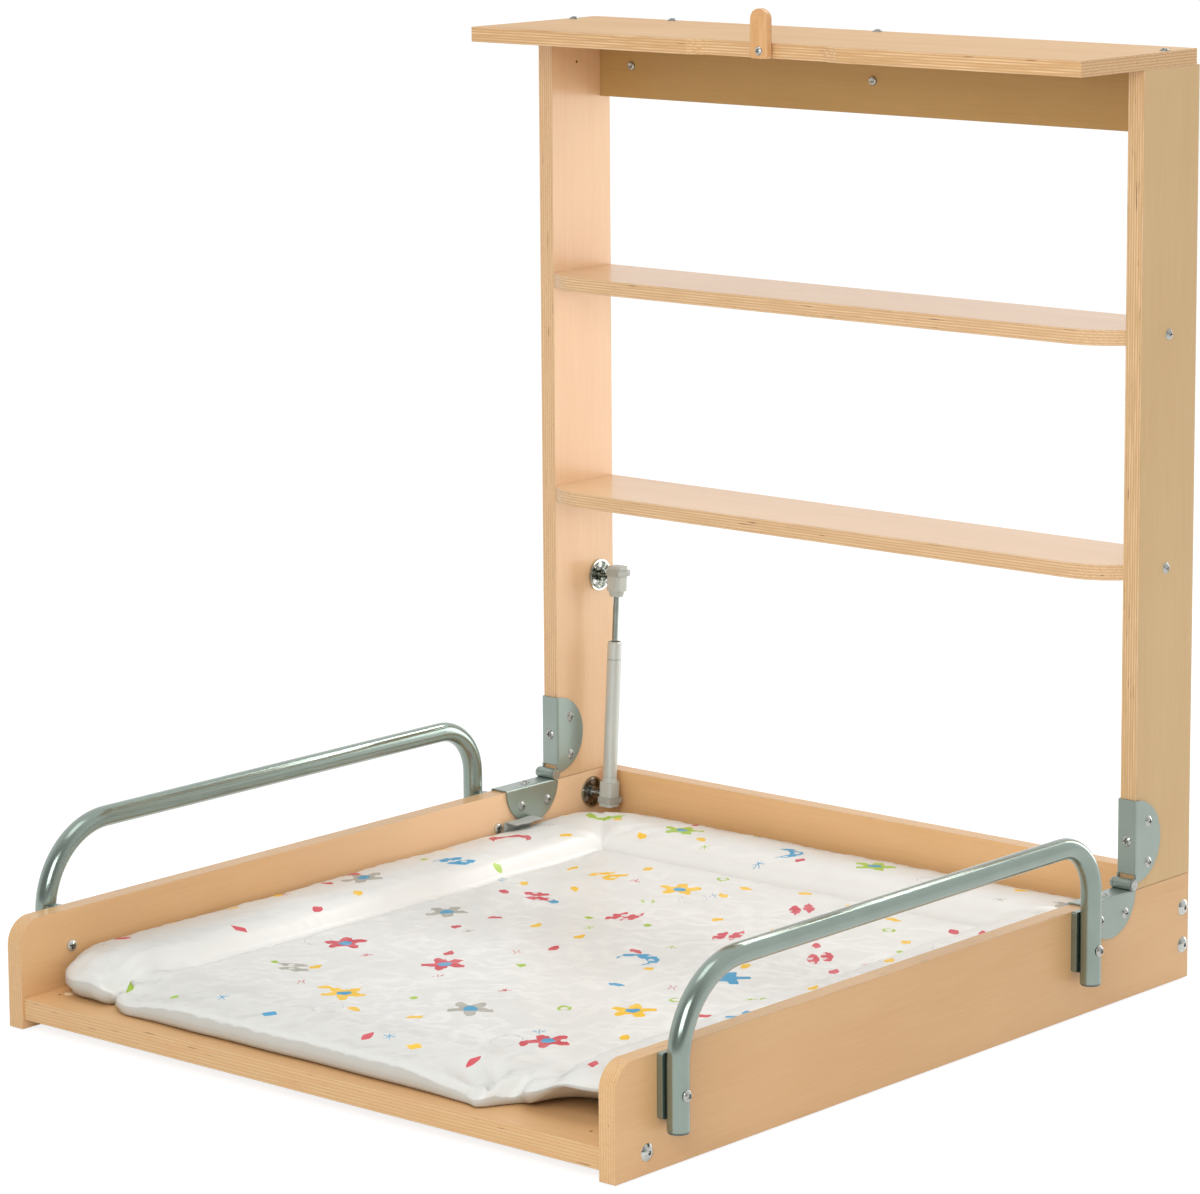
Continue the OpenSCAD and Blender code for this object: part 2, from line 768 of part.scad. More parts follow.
// Sleeve nuts that take the rail bolts from inside the tray
module rail_nuts() {
  color(zinc) both_sides() at_rail_legs() translate([inner_w/2, 0, rail_bolt_z]) difference() {
    union() {
      x_rod(sleeve_r, sleeve_l);
      translate([-rail_nut_h, 0, 0]) x_rod(rail_nut_r, rail_nut_h);
    }
    translate([1, 0, 0]) x_rod(bolt_r + hole_fit, sleeve_l);
  }
}

// ---- Gas strut ----

// Places its children on the strut's line, with the upper ball at the origin
module on_strut() {
  translate(upper_ball) rotate([-strut_lean, 0, 0]) children();
}

// Turns its children to the plate's screw places, about X
module plate_screw_ring() {
  for (i = [0:plate_screws - 1])
    rotate([i*360/plate_screws, 0, 0]) translate([0, 0, plate_screw_ring]) children();
}

// Round plate on a board's inner face, with the board face at X = 0
module mount_plate() {
  difference() {
    x_rod(plate_r, plate_t);
    plate_screw_ring() translate([-1, 0, 0]) x_rod(plate_screw_r + hole_fit, plate_t + 2);
    plate_screw_ring() translate([plate_t - 1, 0, 0]) x_rod(plate_screw_head_r + hole_fit, 2);
  }
}

module plate_screw_set() {
  plate_screw_ring() {
    translate([-plate_screw_l, 0, 0]) x_rod(plate_screw_r, plate_screw_l + plate_t);
    translate([plate_t - 1, 0, 0]) x_rod(plate_screw_head_r, 1);
  }
}

// Ball on its neck, with the ball at the origin and the board at X = -ball_reach
module ball_stud() {
  sphere(ball_r);
  translate([-ball_reach + plate_t, 0, 0]) x_rod(neck_r, ball_reach - plate_t);
}

module strut_upper_stud() {
  color(zinc) translate(upper_ball) {
    ball_stud();
    translate([-ball_reach, 0, 0]) mount_plate();
    translate([-ball_reach + plate_t, 0, 0]) x_rod(stud_boss_r, stud_boss_l);
  }
}

module upper_plate_screws() {
  color(zinc) translate(upper_ball - [ball_reach, 0, 0]) plate_screw_set();
}

module strut_lower_plate() {
  color(zinc) translate(lower_ball - [ball_reach, 0, 0]) mount_plate();
}

module lower_plate_screws() {
  color(zinc) translate(lower_ball - [ball_reach, 0, 0]) plate_screw_set();
}

// The lower stud turns with the strut, and its foot stays clear of the plate
module strut_lower_stud() {
  foot_x = -ball_reach + plate_t + foot_gap;
  color(zinc) translate(lower_ball) {
    sphere(ball_r);
    translate([foot_x, 0, 0]) {
      x_rod(neck_r, -foot_x);
      x_rod(stud_boss_r, foot_t);
    }
  }
}

// Socket round a ball at the origin, with the rod or cylinder below it
module socket() {
  block = socket_l - socket_taper;
  difference() {
    union() {
      translate([0, 0, -block]) linear_extrude(block + socket_end)
        translate([-socket_w/2, -socket_w/2]) round_rect(socket_w, socket_w, socket_corner_r);
      translate([0, 0, -socket_l])
        cylinder(r1 = cylinder_r - 0.5, r2 = socket_w/2, h = socket_taper);
    }
    sphere(ball_r + run_fit);
    translate([-socket_w/2 - 1, 0, 0]) x_rod(mouth_r, socket_w/2 + 1);
    translate([0, 0, -socket_l - 1]) cylinder(r = rod_r + hole_fit, h = socket_bore + 1);
  }
}

// Spring clip that holds the ball in its socket, open towards the board
module clip() {
  w = socket_w + 2*clip_t;
  translate([-socket_w/2 + clip_t, -w/2, 2]) linear_extrude(clip_l) difference() {
    translate([0, 0]) square([socket_w, w]);
    translate([-clip_t, clip_t]) square([socket_w, socket_w]);
  }
}

module strut_upper_socket() {
  color(plastic) on_strut() socket();
}

module strut_upper_clip() {
  color(zinc) on_strut() clip();
}

module strut_lower_socket() {
  color(plastic) on_strut() translate([0, 0, -strut_l]) mirror([0, 0, 1]) socket();
}

module strut_lower_clip() {
  color(zinc) on_strut() translate([0, 0, -strut_l]) mirror([0, 0, 1]) clip();
}

module strut_rod() {
  color(zinc) on_strut() translate([0, 0, -rod_l + piston_l])
    cylinder(r = rod_r, h = rod_l - piston_l - socket_l + socket_bore);
}

module strut_piston() {
  color(zinc) on_strut() translate([0, 0, -rod_l])
    cylinder(r = cylinder_r - cylinder_wall - run_fit, h = piston_l);
}

// Cylinder with a rolled neck, its closed end and the threaded end in the socket
module strut_cylinder() {
  inner = cylinder_r - cylinder_wall;
  color(zinc) on_strut() translate([0, 0, cylinder_end]) {
    rotate_extrude() polygon([
      [0, 0], [cylinder_r, 0], [cylinder_r, cylinder_l - crimp_at - crimp_l],
      [cylinder_r - crimp_d, cylinder_l - crimp_at - crimp_l/2],
      [cylinder_r, cylinder_l - crimp_at], [cylinder_r, cylinder_l - 2],
      [inner + 0.2, cylinder_l], [inner, cylinder_l], [inner, cap_l], [0, cap_l]]);
    translate([0, 0, -socket_bore]) cylinder(r = rod_r, h = socket_bore);
  }
}

module strut_rod_guide() {
  color(plastic) on_strut() translate([0, 0, cylinder_top - guide_l - 1]) difference() {
    cylinder(r = cylinder_r - cylinder_wall - run_fit, h = guide_l);
    translate([0, 0, -1]) cylinder(r = rod_r + run_fit, h = guide_l + 2);
  }
}

// ---- Mat ----

// A pad with pillowed edges: w along X, l along -Y from the origin, h high
module pillow(w, l, h, edge) {
  r = mat_corner_r;
  hull() for (x = [-w/2 + r, w/2 - r], y = [-l + r, -r]) translate([x, y, 0]) {
    translate([0, 0, h/2 - 2]) cylinder(r = r, h = 4, $fn = 24);
    cylinder(r = r - edge, h = h, $fn = 24);
  }
}

module mat() {
  l = mat_rear_y - mat_front_y;
  color("white") translate([0, mat_rear_y, mat_foot_z]) {
    pillow(mat_w, l, mat_t, middle_edge);
    pillow(mat_w, border_w, border_h, border_edge);
    both_sides() translate([(mat_w - border_w)/2, 0, 0]) pillow(border_w, l, border_h, border_edge);
  }
}

// Straps that keep the mat on the deck, one at the edge of each side board
module mat_straps() {
  color("lightgray") both_sides() translate([inner_w/2, strap_mid_y - strap_w/2, strap_z]) {
    translate([-strap_t, 0, -strap_drop]) cube([strap_t, strap_w, strap_drop]);
    translate([-mat_side_gap - strap_lap, 0, 0]) cube([mat_side_gap + strap_lap, strap_w, strap_t]);
  }
}

left_upright();
right_upright();
top_board();
wall_rail();
rail_dowels();
upper_shelf();
lower_shelf();
shelf_screws();
top_screws();
left_frame_leaf();
right_frame_leaf();
frame_leaf_screws();
left_hinge_pin();
right_hinge_pin();
strut_upper_stud();
upper_plate_screws();
latch_screw();
latch_washer();
latch();
left_side_board();
right_side_board();
rear_board();
deck();
left_tray_leaf();
right_tray_leaf();
tray_leaf_screws();
left_guard_rail();
right_guard_rail();
rail_plugs();
rail_spacers();
rail_bolts();
rail_nuts();
board_bolts();
barrel_nuts();
deck_screws();
strut_lower_plate();
lower_plate_screws();
mat();
mat_straps();
strut_rod();
strut_piston();
strut_upper_socket();
strut_upper_clip();
strut_cylinder();
strut_rod_guide();
strut_lower_stud();
strut_lower_socket();
strut_lower_clip();
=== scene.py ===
import math
import bmesh
import bpy
from mathutils import Euler, Matrix, Vector, noise


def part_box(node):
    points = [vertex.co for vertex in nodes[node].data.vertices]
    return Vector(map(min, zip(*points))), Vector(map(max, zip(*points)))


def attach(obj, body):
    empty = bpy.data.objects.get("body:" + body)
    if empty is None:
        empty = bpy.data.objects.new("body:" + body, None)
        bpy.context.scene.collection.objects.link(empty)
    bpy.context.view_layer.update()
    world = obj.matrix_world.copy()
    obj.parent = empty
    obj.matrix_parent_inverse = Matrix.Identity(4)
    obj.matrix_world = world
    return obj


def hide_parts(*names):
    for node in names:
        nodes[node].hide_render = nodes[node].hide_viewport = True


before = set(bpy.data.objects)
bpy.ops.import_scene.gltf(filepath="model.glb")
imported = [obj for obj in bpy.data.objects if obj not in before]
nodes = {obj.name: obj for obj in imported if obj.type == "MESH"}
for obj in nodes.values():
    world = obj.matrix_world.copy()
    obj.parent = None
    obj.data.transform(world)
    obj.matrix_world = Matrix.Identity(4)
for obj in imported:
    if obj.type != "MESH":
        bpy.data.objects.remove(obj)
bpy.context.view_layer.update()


def srgb(red, green, blue):  # 0 to 255, as on a colour card
    def linear(c):
        return c / 255 / 12.92 if c < 10.4 else ((c / 255 + 0.055) / 1.055) ** 2.4
    return linear(red), linear(green), linear(blue), 1.0


class Value:  # wraps a shader socket, so that shader maths reads as Python
    def __init__(self, finish, node, socket):
        self.finish, self.owner, self.socket = finish, node, socket

    def other(self, name):  # another output of the same node
        return Value(self.finish, self.owner, self.owner.outputs[name])

    def math(self, operation, *others):
        values = dict(enumerate((self,) + others))
        return self.finish.node("Math", {"operation": operation}, values)

    def after(self, operation, first):
        return self.finish.node("Math", {"operation": operation}, {0: first, 1: self})

    def __add__(self, other):
        return self.math("ADD", other)

    def __sub__(self, other):
        return self.math("SUBTRACT", other)

    def __mul__(self, other):
        return self.math("MULTIPLY", other)

    def __radd__(self, other):
        return self.after("ADD", other)

    def __rsub__(self, other):
        return self.after("SUBTRACT", other)

    def __rmul__(self, other):
        return self.after("MULTIPLY", other)

    def __neg__(self):
        return self.after("SUBTRACT", 0.0)

    def __abs__(self):
        return self.math("ABSOLUTE")

    def __lt__(self, other):
        return self.math("LESS_THAN", other)

    def __gt__(self, other):
        return self.math("GREATER_THAN", other)

    def step(self, low, high):  # soft step from 0 at low to 1 at high
        return self.finish.node("MapRange", {"interpolation_type": "SMOOTHSTEP"},
                                {"Value": self, "From Min": low, "From Max": high})


class Finish:
    def __init__(self, name):
        self.material = bpy.data.materials.new(name)
        self.material.use_nodes = True
        self.tree = self.material.node_tree
        self.tree.nodes.clear()
        self.coords = None

    def node(self, kind, settings=None, values=None, out=0):
        made = self.tree.nodes.new("ShaderNode" + kind)
        for key, setting in (settings or {}).items():
            if key == "stops":
                ramp = made.color_ramp
                while len(ramp.elements) < len(setting):
                    ramp.elements.new(0.5)
                for element, (place, colour) in zip(ramp.elements, setting):
                    element.position, element.color = place, colour
            elif key == "steps":
                made.color_ramp.interpolation = setting
            else:
                setattr(made, key, setting)
        for key, value in (values or {}).items():
            if isinstance(value, Value):
                self.tree.links.new(value.socket, made.inputs[key])
            else:
                made.inputs[key].default_value = value
        return Value(self, made, made.outputs[out])

    def place(self, name="Object"):  # where a point is on the piece at rest
        if self.coords is None:
            self.coords = self.node("TexCoord")
        return self.coords.other(name)

    def cloud(self, scale, detail=2.0, shift=(0, 0, 0), rough=0.5):  # soft noise, 0 to 1
        if isinstance(scale, (int, float)):
            scale = (scale,) * 3
        stretched = self.node("Mapping", {}, {"Vector": self.place(), "Scale": scale,
                                              "Location": shift})
        return self.node("TexNoise", {}, {"Vector": stretched, "Scale": 1.0,
                                          "Detail": detail, "Roughness": rough})

    def parts(self, vector):
        split = self.node("SeparateXYZ", {}, {0: vector})
        return split, split.other("Y"), split.other("Z")

    def mix(self, first, second, factor):
        return self.node("Mix", {"data_type": "RGBA", "blend_type": "MIX"},
                         {0: factor, 6: first, 7: second}, out=2)

    def pick(self, stops, place):  # one of several colours, with hard steps between them
        return self.node("ValToRGB", {"steps": "CONSTANT", "stops": stops}, {0: place})

    def softEdge(self, radius):  # rounds the edges in the shading
        return self.node("Bevel", {"samples": 4}, {"Radius": radius})

    def bump(self, height, strength, distance, normal=None):
        values = {"Height": height, "Strength": strength, "Distance": distance}
        if normal is not None:
            values["Normal"] = normal
        return self.node("Bump", {}, values)

    def occlusionShade(self, colour, dark, reach):  # painted shade: darkens narrow gaps and recesses found by ambient occlusion
        openness = self.node("AmbientOcclusion", {"samples": 6}, {"Distance": reach}, out=1)
        return self.mix(dark, colour, openness.step(0.22, 0.72))

    def surface(self, **values):
        named = {key.replace("_", " "): value for key, value in values.items()}
        return self.show(self.node("BsdfPrincipled", {}, named))

    def show(self, shader):
        ending = self.tree.nodes.new("ShaderNodeOutputMaterial")
        self.tree.links.new(shader.socket, ending.inputs["Surface"])
        return self.material


def dress(names, material):  # gives every slot of these CAD nodes one material
    for name in names:
        piece = nodes[name]
        if not piece.data.materials:
            piece.data.materials.append(material)
        for slot in piece.material_slots:
            slot.material = material


def newPiece(name, shape):  # turns a bmesh into a smooth object of the scene
    mesh = bpy.data.meshes.new(name)
    shape.to_mesh(mesh)
    shape.free()
    piece = bpy.data.objects.new(name, mesh)
    bpy.context.scene.collection.objects.link(piece)
    mesh.shade_smooth()
    return piece


def plyLook(face, grain, edgeLight=(228, 192, 148), edgeDark=(198, 157, 110)):
    return dict(face=srgb(*face), grain=srgb(*grain),
                edgeLight=srgb(*edgeLight), edgeDark=srgb(*edgeDark))


axisIndex = {"X": 0, "Y": 1, "Z": 2}

plyLooks = {
    "pale": plyLook((226, 190, 146), (212, 171, 124)),
    # painted light: a paler face that stands in for the light and sheen on the left upright's
    # inner face
    "bright": plyLook((230, 192, 149), (219, 176, 131)),
    "warm": plyLook((222, 180, 130), (210, 163, 112), (214, 179, 130), (197, 158, 108)),
    "honey": plyLook((217, 179, 131), (202, 157, 106)),
    "amber": plyLook((235, 190, 136), (223, 173, 118), (214, 179, 130), (197, 158, 108)),
    "straw": plyLook((211, 177, 126), (198, 161, 109), (226, 190, 148), (196, 156, 108)),
    # darker veneer, partly painted shade: the wall rail lies in shade under the top board
    "darkerWithPaintedShade": plyLook((188, 152, 95), (174, 136, 80), (214, 176, 128), (176, 130, 80)),
}

plyBoards = {  # thick: axis through the plies, along: axis of the face grain
    "left_upright": dict(look="bright", thick="X", along="Z", plies=13, gloss=0.4, sheen=0.4,
                         pilots=[(-0.357, -0.0515, 0.0047)]),
    "right_upright": dict(look="straw", thick="X", along="Z", plies=13, gloss=0.3, sheen=0.4),
    "top_board": dict(look="honey", thick="Z", along="X", plies=11, gloss=0.05, sheen=0.12),
    "wall_rail": dict(look="darkerWithPaintedShade", thick="Y", along="X", plies=11, gloss=0.1, sheen=0.3),
    "upper_shelf": dict(look="pale", thick="Z", along="X", plies=11, gloss=0.6, sheen=0.5),
    "lower_shelf": dict(look="pale", thick="Z", along="X", plies=11, gloss=0.6, sheen=0.5),
    # painted light: the inner face is painted paler towards the rear
    "left_side_board": dict(look="warm", thick="X", along="Y", plies=13, gloss=0.3, sheen=0.4,
                            paintedRearLight=dict(colour=srgb(246, 207, 166), start=-0.62, end=-0.10)),
    "right_side_board": dict(look="warm", thick="X", along="Y", plies=13, gloss=0.25, sheen=0.4),
    "rear_board": dict(look="amber", thick="Y", along="X", plies=13, gloss=0.2, sheen=0.4),
    "deck": dict(look="warm", thick="Z", along="X", plies=13, gloss=0.2, sheen=0.3,
                 pilots=[(-0.3416, -0.8128, -0.8194), (0.3210, -0.8146, -0.8194)]),
}

veneer = dict(  # pairs: noise cells per metre, along the grain and across it
    figure=(2.2, 26), grain=(14, 420), fleck=(95, 900), waver=(18, 60),
    endGrain=(900, 300), longGrain=(22, 700), gap=(34, 520), blotches=5.5,
    gapTone=srgb(124, 90, 56), pilotHoleShade=srgb(96, 64, 40), pilotRadius=(0.0012, 0.0018),
    edgeGloss=0.5, roundedEdge=0.0012)


def scaleAlong(along, slow, fast):
    return tuple(slow if axisIndex[along] == i else fast for i in range(3))


def plywood(name, board):
    look, along = plyLooks[board["look"]], board["along"]
    low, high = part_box(name)
    axis = axisIndex[board["thick"]]
    start, depth = low[axis], high[axis] - low[axis]
    finish = Finish("ply_" + name)
    shift = tuple(7.3 * (list(plyBoards).index(name) + 1) * k for k in (1, 0.7, 1.9))

    def wood(key, detail, rough=0.5):
        return finish.cloud(scaleAlong(along, *veneer[key]), detail, shift, rough)

    here = finish.parts(finish.place())
    facing = abs(finish.parts(finish.place("Normal"))[axis])
    edge = 1 - facing.step(0.55, 0.85)
    # face veneer: long soft figure, fine grain and short flecks
    figure, grain = wood("figure", 3.0), wood("grain", 3.0, 0.6)
    fleck = wood("fleck", 2.0).step(0.62, 0.78)
    blotch = finish.cloud(veneer["blotches"], 2.0, shift)
    tone = (0.45 * figure + 0.35 * grain + 0.35 * blotch - 0.1).step(0.15, 0.85)
    face = finish.mix(look["face"], look["grain"], tone)
    face = finish.mix(face, look["edgeDark"], 0.35 * fleck)
    if "paintedRearLight" in board:  # painted light: the face gets paler towards the rear, where more light falls
        pale = board["paintedRearLight"]
        share = (here[1] + 0.05 * (figure - 0.5)).step(pale["start"], pale["end"])
        face = finish.mix(face, pale["colour"], 0.85 * share)
    # edge: plies with the grain running along and across in turn
    across = (here[axis] - start) * (1 / depth)
    waves = across * (math.pi * board["plies"]) + (wood("waver", 1.0) - 0.5) * 0.5
    ply = waves.math("SINE").step(-0.35, 0.35)
    light = finish.mix(look["edgeLight"], look["grain"], wood("longGrain", 2.0).step(0.3, 0.75))
    dark = finish.mix(look["edgeDark"], look["grain"], wood("endGrain", 2.0).step(0.35, 0.75))
    gap = wood("gap", 1.0).step(0.69, 0.75) * (1 - ply)  # short gaps in the dark plies
    sides = finish.mix(finish.mix(dark, light, ply), veneer["gapTone"], 0.75 * gap)
    colour = finish.mix(face, sides, edge)
    for pilot in board.get("pilots", []):  # small pilot holes left open, drawn as dark dots of painted shade
        away = finish.node("VectorMath", {"operation": "DISTANCE"},
                           {0: finish.place(), 1: pilot}, out=1)
        colour = finish.mix(veneer["pilotHoleShade"], colour, away.step(*veneer["pilotRadius"]))
    relief = (grain * 0.6 + fleck * -0.5) * (1 - edge) + ply * edge * 0.25
    gloss = board["gloss"]
    return finish.surface(
        Base_Color=colour, Roughness=0.42 + 0.12 * grain + 0.1 * edge,
        Coat_Weight=gloss + (veneer["edgeGloss"] - gloss) * edge, Coat_Roughness=0.2,
        Normal=finish.bump(relief, 0.12, 0.0004, finish.softEdge(veneer["roundedEdge"])),
        Specular_IOR_Level=board["sheen"])


for boardName, board in plyBoards.items():
    dress([boardName], plywood(boardName, board))
print("plywood done")


beech = {  # latch bar and dowels, turned from solid wood
    "latch": dict(finish="latch_wood", face=srgb(222, 176, 124), grain=srgb(206, 153, 97),
                  along="Z"),
    "rail_dowels": dict(finish="dowel_wood", face=srgb(222, 186, 140),
                        grain=srgb(200, 160, 112), along="X"),
}


def solidBeech(look):
    finish = Finish(look["finish"])
    grain = finish.cloud(scaleAlong(look["along"], 25, 380), 3.0)
    figure = finish.cloud(scaleAlong(look["along"], 6, 60), 2.0)
    fleck = finish.cloud(scaleAlong(look["along"], 160, 1500), 1.0).step(0.6, 0.75)
    tone = finish.mix(look["face"], look["grain"], (grain * 0.5 + figure * 0.6).step(0.3, 0.8))
    tone = finish.mix(tone, srgb(166, 112, 62), 0.4 * fleck)
    return finish.surface(Base_Color=tone, Roughness=0.38 + 0.1 * grain,
                          Normal=finish.bump(grain, 0.1, 0.0003, finish.softEdge(0.0015)))


for pieceName, look in beech.items():
    dress([pieceName], solidBeech(look))
print("latch and dowels done")


paints = {  # metal: how metallic, speckle: grains per metre, ring: groove below the top
    "hinge_paint": dict(
        colour=srgb(156, 169, 160), deep=srgb(142, 155, 147), metal=0.65, rough=0.27,
        speckle=2600, dent=0.06,
        on=["left_frame_leaf", "right_frame_leaf", "left_tray_leaf", "right_tray_leaf"]),
    "rail_paint": dict(
        colour=srgb(146, 160, 151), deep=srgb(130, 144, 136), metal=0.8, rough=0.15,
        speckle=2600, dent=0.05, on=["left_guard_rail", "right_guard_rail", "rail_spacers"]),
    "cylinder_paint": dict(
        colour=srgb(206, 209, 202), deep=srgb(192, 195, 189), metal=0.3, rough=0.3,
        speckle=2200, dent=0.04, ring=0.019, ringWide=0.0006, axis=(0.0, 0.0647, 0.9979),
        on=["strut_cylinder"]),
}

metals = {  # share: how metallic, brush: scratches per metre
    "zinc": dict(
        bright=srgb(200, 202, 198), dull=srgb(152, 153, 149), rough=0.2, brush=900, share=0.75,
        on=["shelf_screws", "frame_leaf_screws", "tray_leaf_screws", "left_hinge_pin",
            "right_hinge_pin", "latch_screw", "latch_washer", "deck_screws", "strut_piston",
            "upper_plate_screws", "lower_plate_screws", "rail_bolts"]),
    "chrome": dict(
        bright=srgb(206, 207, 202), dull=srgb(160, 161, 156), rough=0.1, brush=700, share=1.0,
        on=["board_bolts", "strut_lower_stud"]),
    "rod_steel": dict(
        bright=srgb(150, 157, 150), dull=srgb(128, 135, 129), rough=0.16, brush=700, share=1.0,
        on=["strut_rod"]),
    "dark_chrome": dict(
        bright=srgb(172, 173, 168), dull=srgb(104, 105, 101), rough=0.1, brush=700, share=1.0,
        on=["top_screws"]),
    "barrel_nut_steel": dict(
        bright=srgb(242, 220, 182), dull=srgb(228, 204, 162), rough=0.35, brush=500,
        share=0.25, on=["barrel_nuts"]),
    "spring_steel": dict(
        bright=srgb(176, 179, 171), dull=srgb(150, 153, 146), rough=0.34, brush=700, share=0.1,
        on=["strut_upper_clip", "strut_lower_clip"]),
}

plastics = {
    "socket_plastic": dict(colour=srgb(185, 188, 180), deep=srgb(171, 174, 166), rough=0.38,
                           on=["strut_upper_socket", "strut_lower_socket"]),
    "plug_plastic": dict(colour=srgb(92, 98, 96), deep=srgb(78, 83, 82), rough=0.45,
                         on=["rail_plugs", "strut_rod_guide"]),
    "cap_plastic": dict(colour=srgb(244, 222, 184), deep=srgb(232, 208, 168), rough=0.4, on=[]),
}

plate = dict(  # round plates of the ball studs, shiny and dimpled, with painted reflections in the dimples
    pieces=["strut_upper_stud", "strut_lower_plate"], light=srgb(150, 153, 143),
    dark=srgb(62, 66, 58), rimTone=srgb(196, 198, 190), dimples=300, rim=(0.43, 0.45))

nutHead = dict(  # domed head with a cross recess; the dark cross is painted shade
    radius=0.0058, arm=0.0030, slot=0.0007, tone=srgb(214, 215, 208), recess=srgb(58, 60, 56))


def paint(name, look):
    finish = Finish(name)
    speckle = finish.cloud(look["speckle"], 1.0)
    cloudy = finish.cloud(22, 2.0)
    tone = (speckle * 0.6 + cloudy * 0.5).step(0.25, 0.85)
    colour = finish.mix(look["colour"], look["deep"], tone)
    # painted shade in narrow gaps and recesses of the paint
    colour = finish.occlusionShade(colour, srgb(70, 79, 74), 0.0018)
    if "ring" in look:  # rolled groove a little below the top of the cylinder, drawn as a darker line of painted shade
        y, z = finish.parts(finish.place())[1:]
        leanY, leanZ = look["axis"][1:]
        low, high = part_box("strut_cylinder")
        top = leanY * (low[1] + high[1]) / 2 + leanZ * high[2]
        below = top - (y * leanY + z * leanZ) - look["ring"]
        colour = finish.mix(colour, srgb(112, 116, 112), 0.45 * (abs(below) < look["ringWide"]))
    return finish.surface(
        Base_Color=colour, Metallic=look["metal"], Roughness=look["rough"] + 0.08 * cloudy,
        Normal=finish.bump(speckle, look["dent"], 0.0002, finish.softEdge(0.0006)),
        Coat_Weight=0.25, Coat_Roughness=0.2)


def metal(name, look):
    finish = Finish(name)
    cloudy = finish.cloud(60, 2.0)
    scratch = finish.cloud((look["brush"], look["brush"] * 0.1, look["brush"]), 2.0)
    tone = (cloudy * 0.6 + scratch * 0.5).step(0.3, 0.85)
    colour = finish.mix(look["bright"], look["dull"], tone)
    # painted shade in recesses and round the heads
    return finish.surface(
        Base_Color=finish.occlusionShade(colour, srgb(44, 46, 43), 0.0022),
        Metallic=look["share"], Roughness=look["rough"] + 0.12 * cloudy,
        Normal=finish.bump(scratch, 0.05, 0.0001, finish.softEdge(0.0004)))


def plastic(name, look):
    finish = Finish(name)
    grainy, cloudy = finish.cloud(1500, 1.0), finish.cloud(30, 2.0)
    tone = (grainy * 0.4 + cloudy * 0.6).step(0.3, 0.8)
    return finish.surface(
        Base_Color=finish.mix(look["colour"], look["deep"], tone),
        Roughness=look["rough"] + 0.1 * cloudy,
        Normal=finish.bump(grainy, 0.1, 0.0002, finish.softEdge(0.0006)))


def stampedPlate():  # painted reflections: the dimples' light and dark spots are painted in the colour, the rim is plain
    finish = Finish("stamped_plate")
    y, z = finish.parts(finish.place())[1:]
    dimple = finish.cloud(plate["dimples"], 2.0)
    rim = 1.0
    for name in plate["pieces"]:
        low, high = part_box(name)
        wide = high[2] - low[2]
        u, v = y - (low[1] + high[1]) / 2, z - (low[2] + high[2]) / 2
        away = (u * u + v * v).math("SQRT")
        rim = rim * away.step(*(wide * share for share in plate["rim"]))
    colour = finish.mix(plate["light"], plate["dark"], dimple.step(0.36, 0.64))
    return finish.surface(
        Base_Color=finish.mix(colour, plate["rimTone"], rim), Metallic=1.0,
        Roughness=0.12 + 0.1 * dimple, Normal=finish.bump(dimple * (1 - rim), 0.9, 0.0012))


def domedNut():  # the axis of the nuts runs along X
    finish = Finish("domed_nut")
    y, z = finish.parts(finish.place())[1:]
    low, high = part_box("rail_nuts")
    middleZ, radius = (low[2] + high[2]) / 2, (high[2] - low[2]) / 2
    dome, cross = 0.0, 0.0
    for middleY in (low[1] + radius, high[1] - radius):
        u, v = abs(y - middleY), abs(z - middleZ)
        away = (u * u + v * v).math("SQRT")
        upright = (u < nutHead["slot"]) * (v < nutHead["arm"])
        level = (v < nutHead["slot"]) * (u < nutHead["arm"])
        cross = (upright + level).math("MINIMUM", 1.0) + cross
        dome = (1 - away.step(0.0, nutHead["radius"])) + dome
    return finish.surface(
        Base_Color=finish.mix(nutHead["tone"], nutHead["recess"], cross), Metallic=0.8,
        Roughness=0.2 + 0.3 * cross, Normal=finish.bump(dome - cross * 0.5, 1.0, 0.002))


hardware = {}  # finished materials by name
for make, looks in ((paint, paints), (metal, metals), (plastic, plastics)):
    for finishName, look in looks.items():
        hardware[finishName] = make(finishName, look)
        dress(look["on"], hardware[finishName])
dress(plate["pieces"], stampedPlate())
dress(["rail_nuts"], domedNut())
print("metal and plastic done")


wallScrew = dict(  # profile: share of the radius, and how far it stands off the wall rail
    places=((-0.314, 0.0), (0.0, 0.0), (0.314, 0.0)), radius=0.0048, sides=28, recess=0.45,
    profile=[(0.0, 0.0011), (0.45, 0.0011), (0.62, 0.0024), (0.76, 0.0022), (0.90, 0.0015),
             (0.98, 0.0007), (1.0, 0.0)])

cap = dict(  # over the barrel nuts of the deck; profile: share of radius, share of proud
    places=((-0.337, -0.805), (0.337, -0.805)), radius=0.0050, proud=0.0007, sides=28,
    profile=[(0.02, 1.0), (0.5, 0.93), (0.82, 0.7), (0.96, 0.3), (1.0, -0.8), (0.9, -1.6)])


def closeRings(shape, rings):  # skins a stack of rings and fills its two ends
    for inner, outer in zip(rings, rings[1:]):
        for k in range(len(inner)):
            shape.faces.new([inner[k - 1], inner[k], outer[k], outer[k - 1]])
    shape.faces.new(rings[0])
    shape.faces.new(list(reversed(rings[-1])))


def finishHeads(name, shape, material, body):
    bmesh.ops.recalc_face_normals(shape, faces=shape.faces)
    piece = newPiece(name, shape)
    piece.data.materials.append(material)
    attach(piece, body)


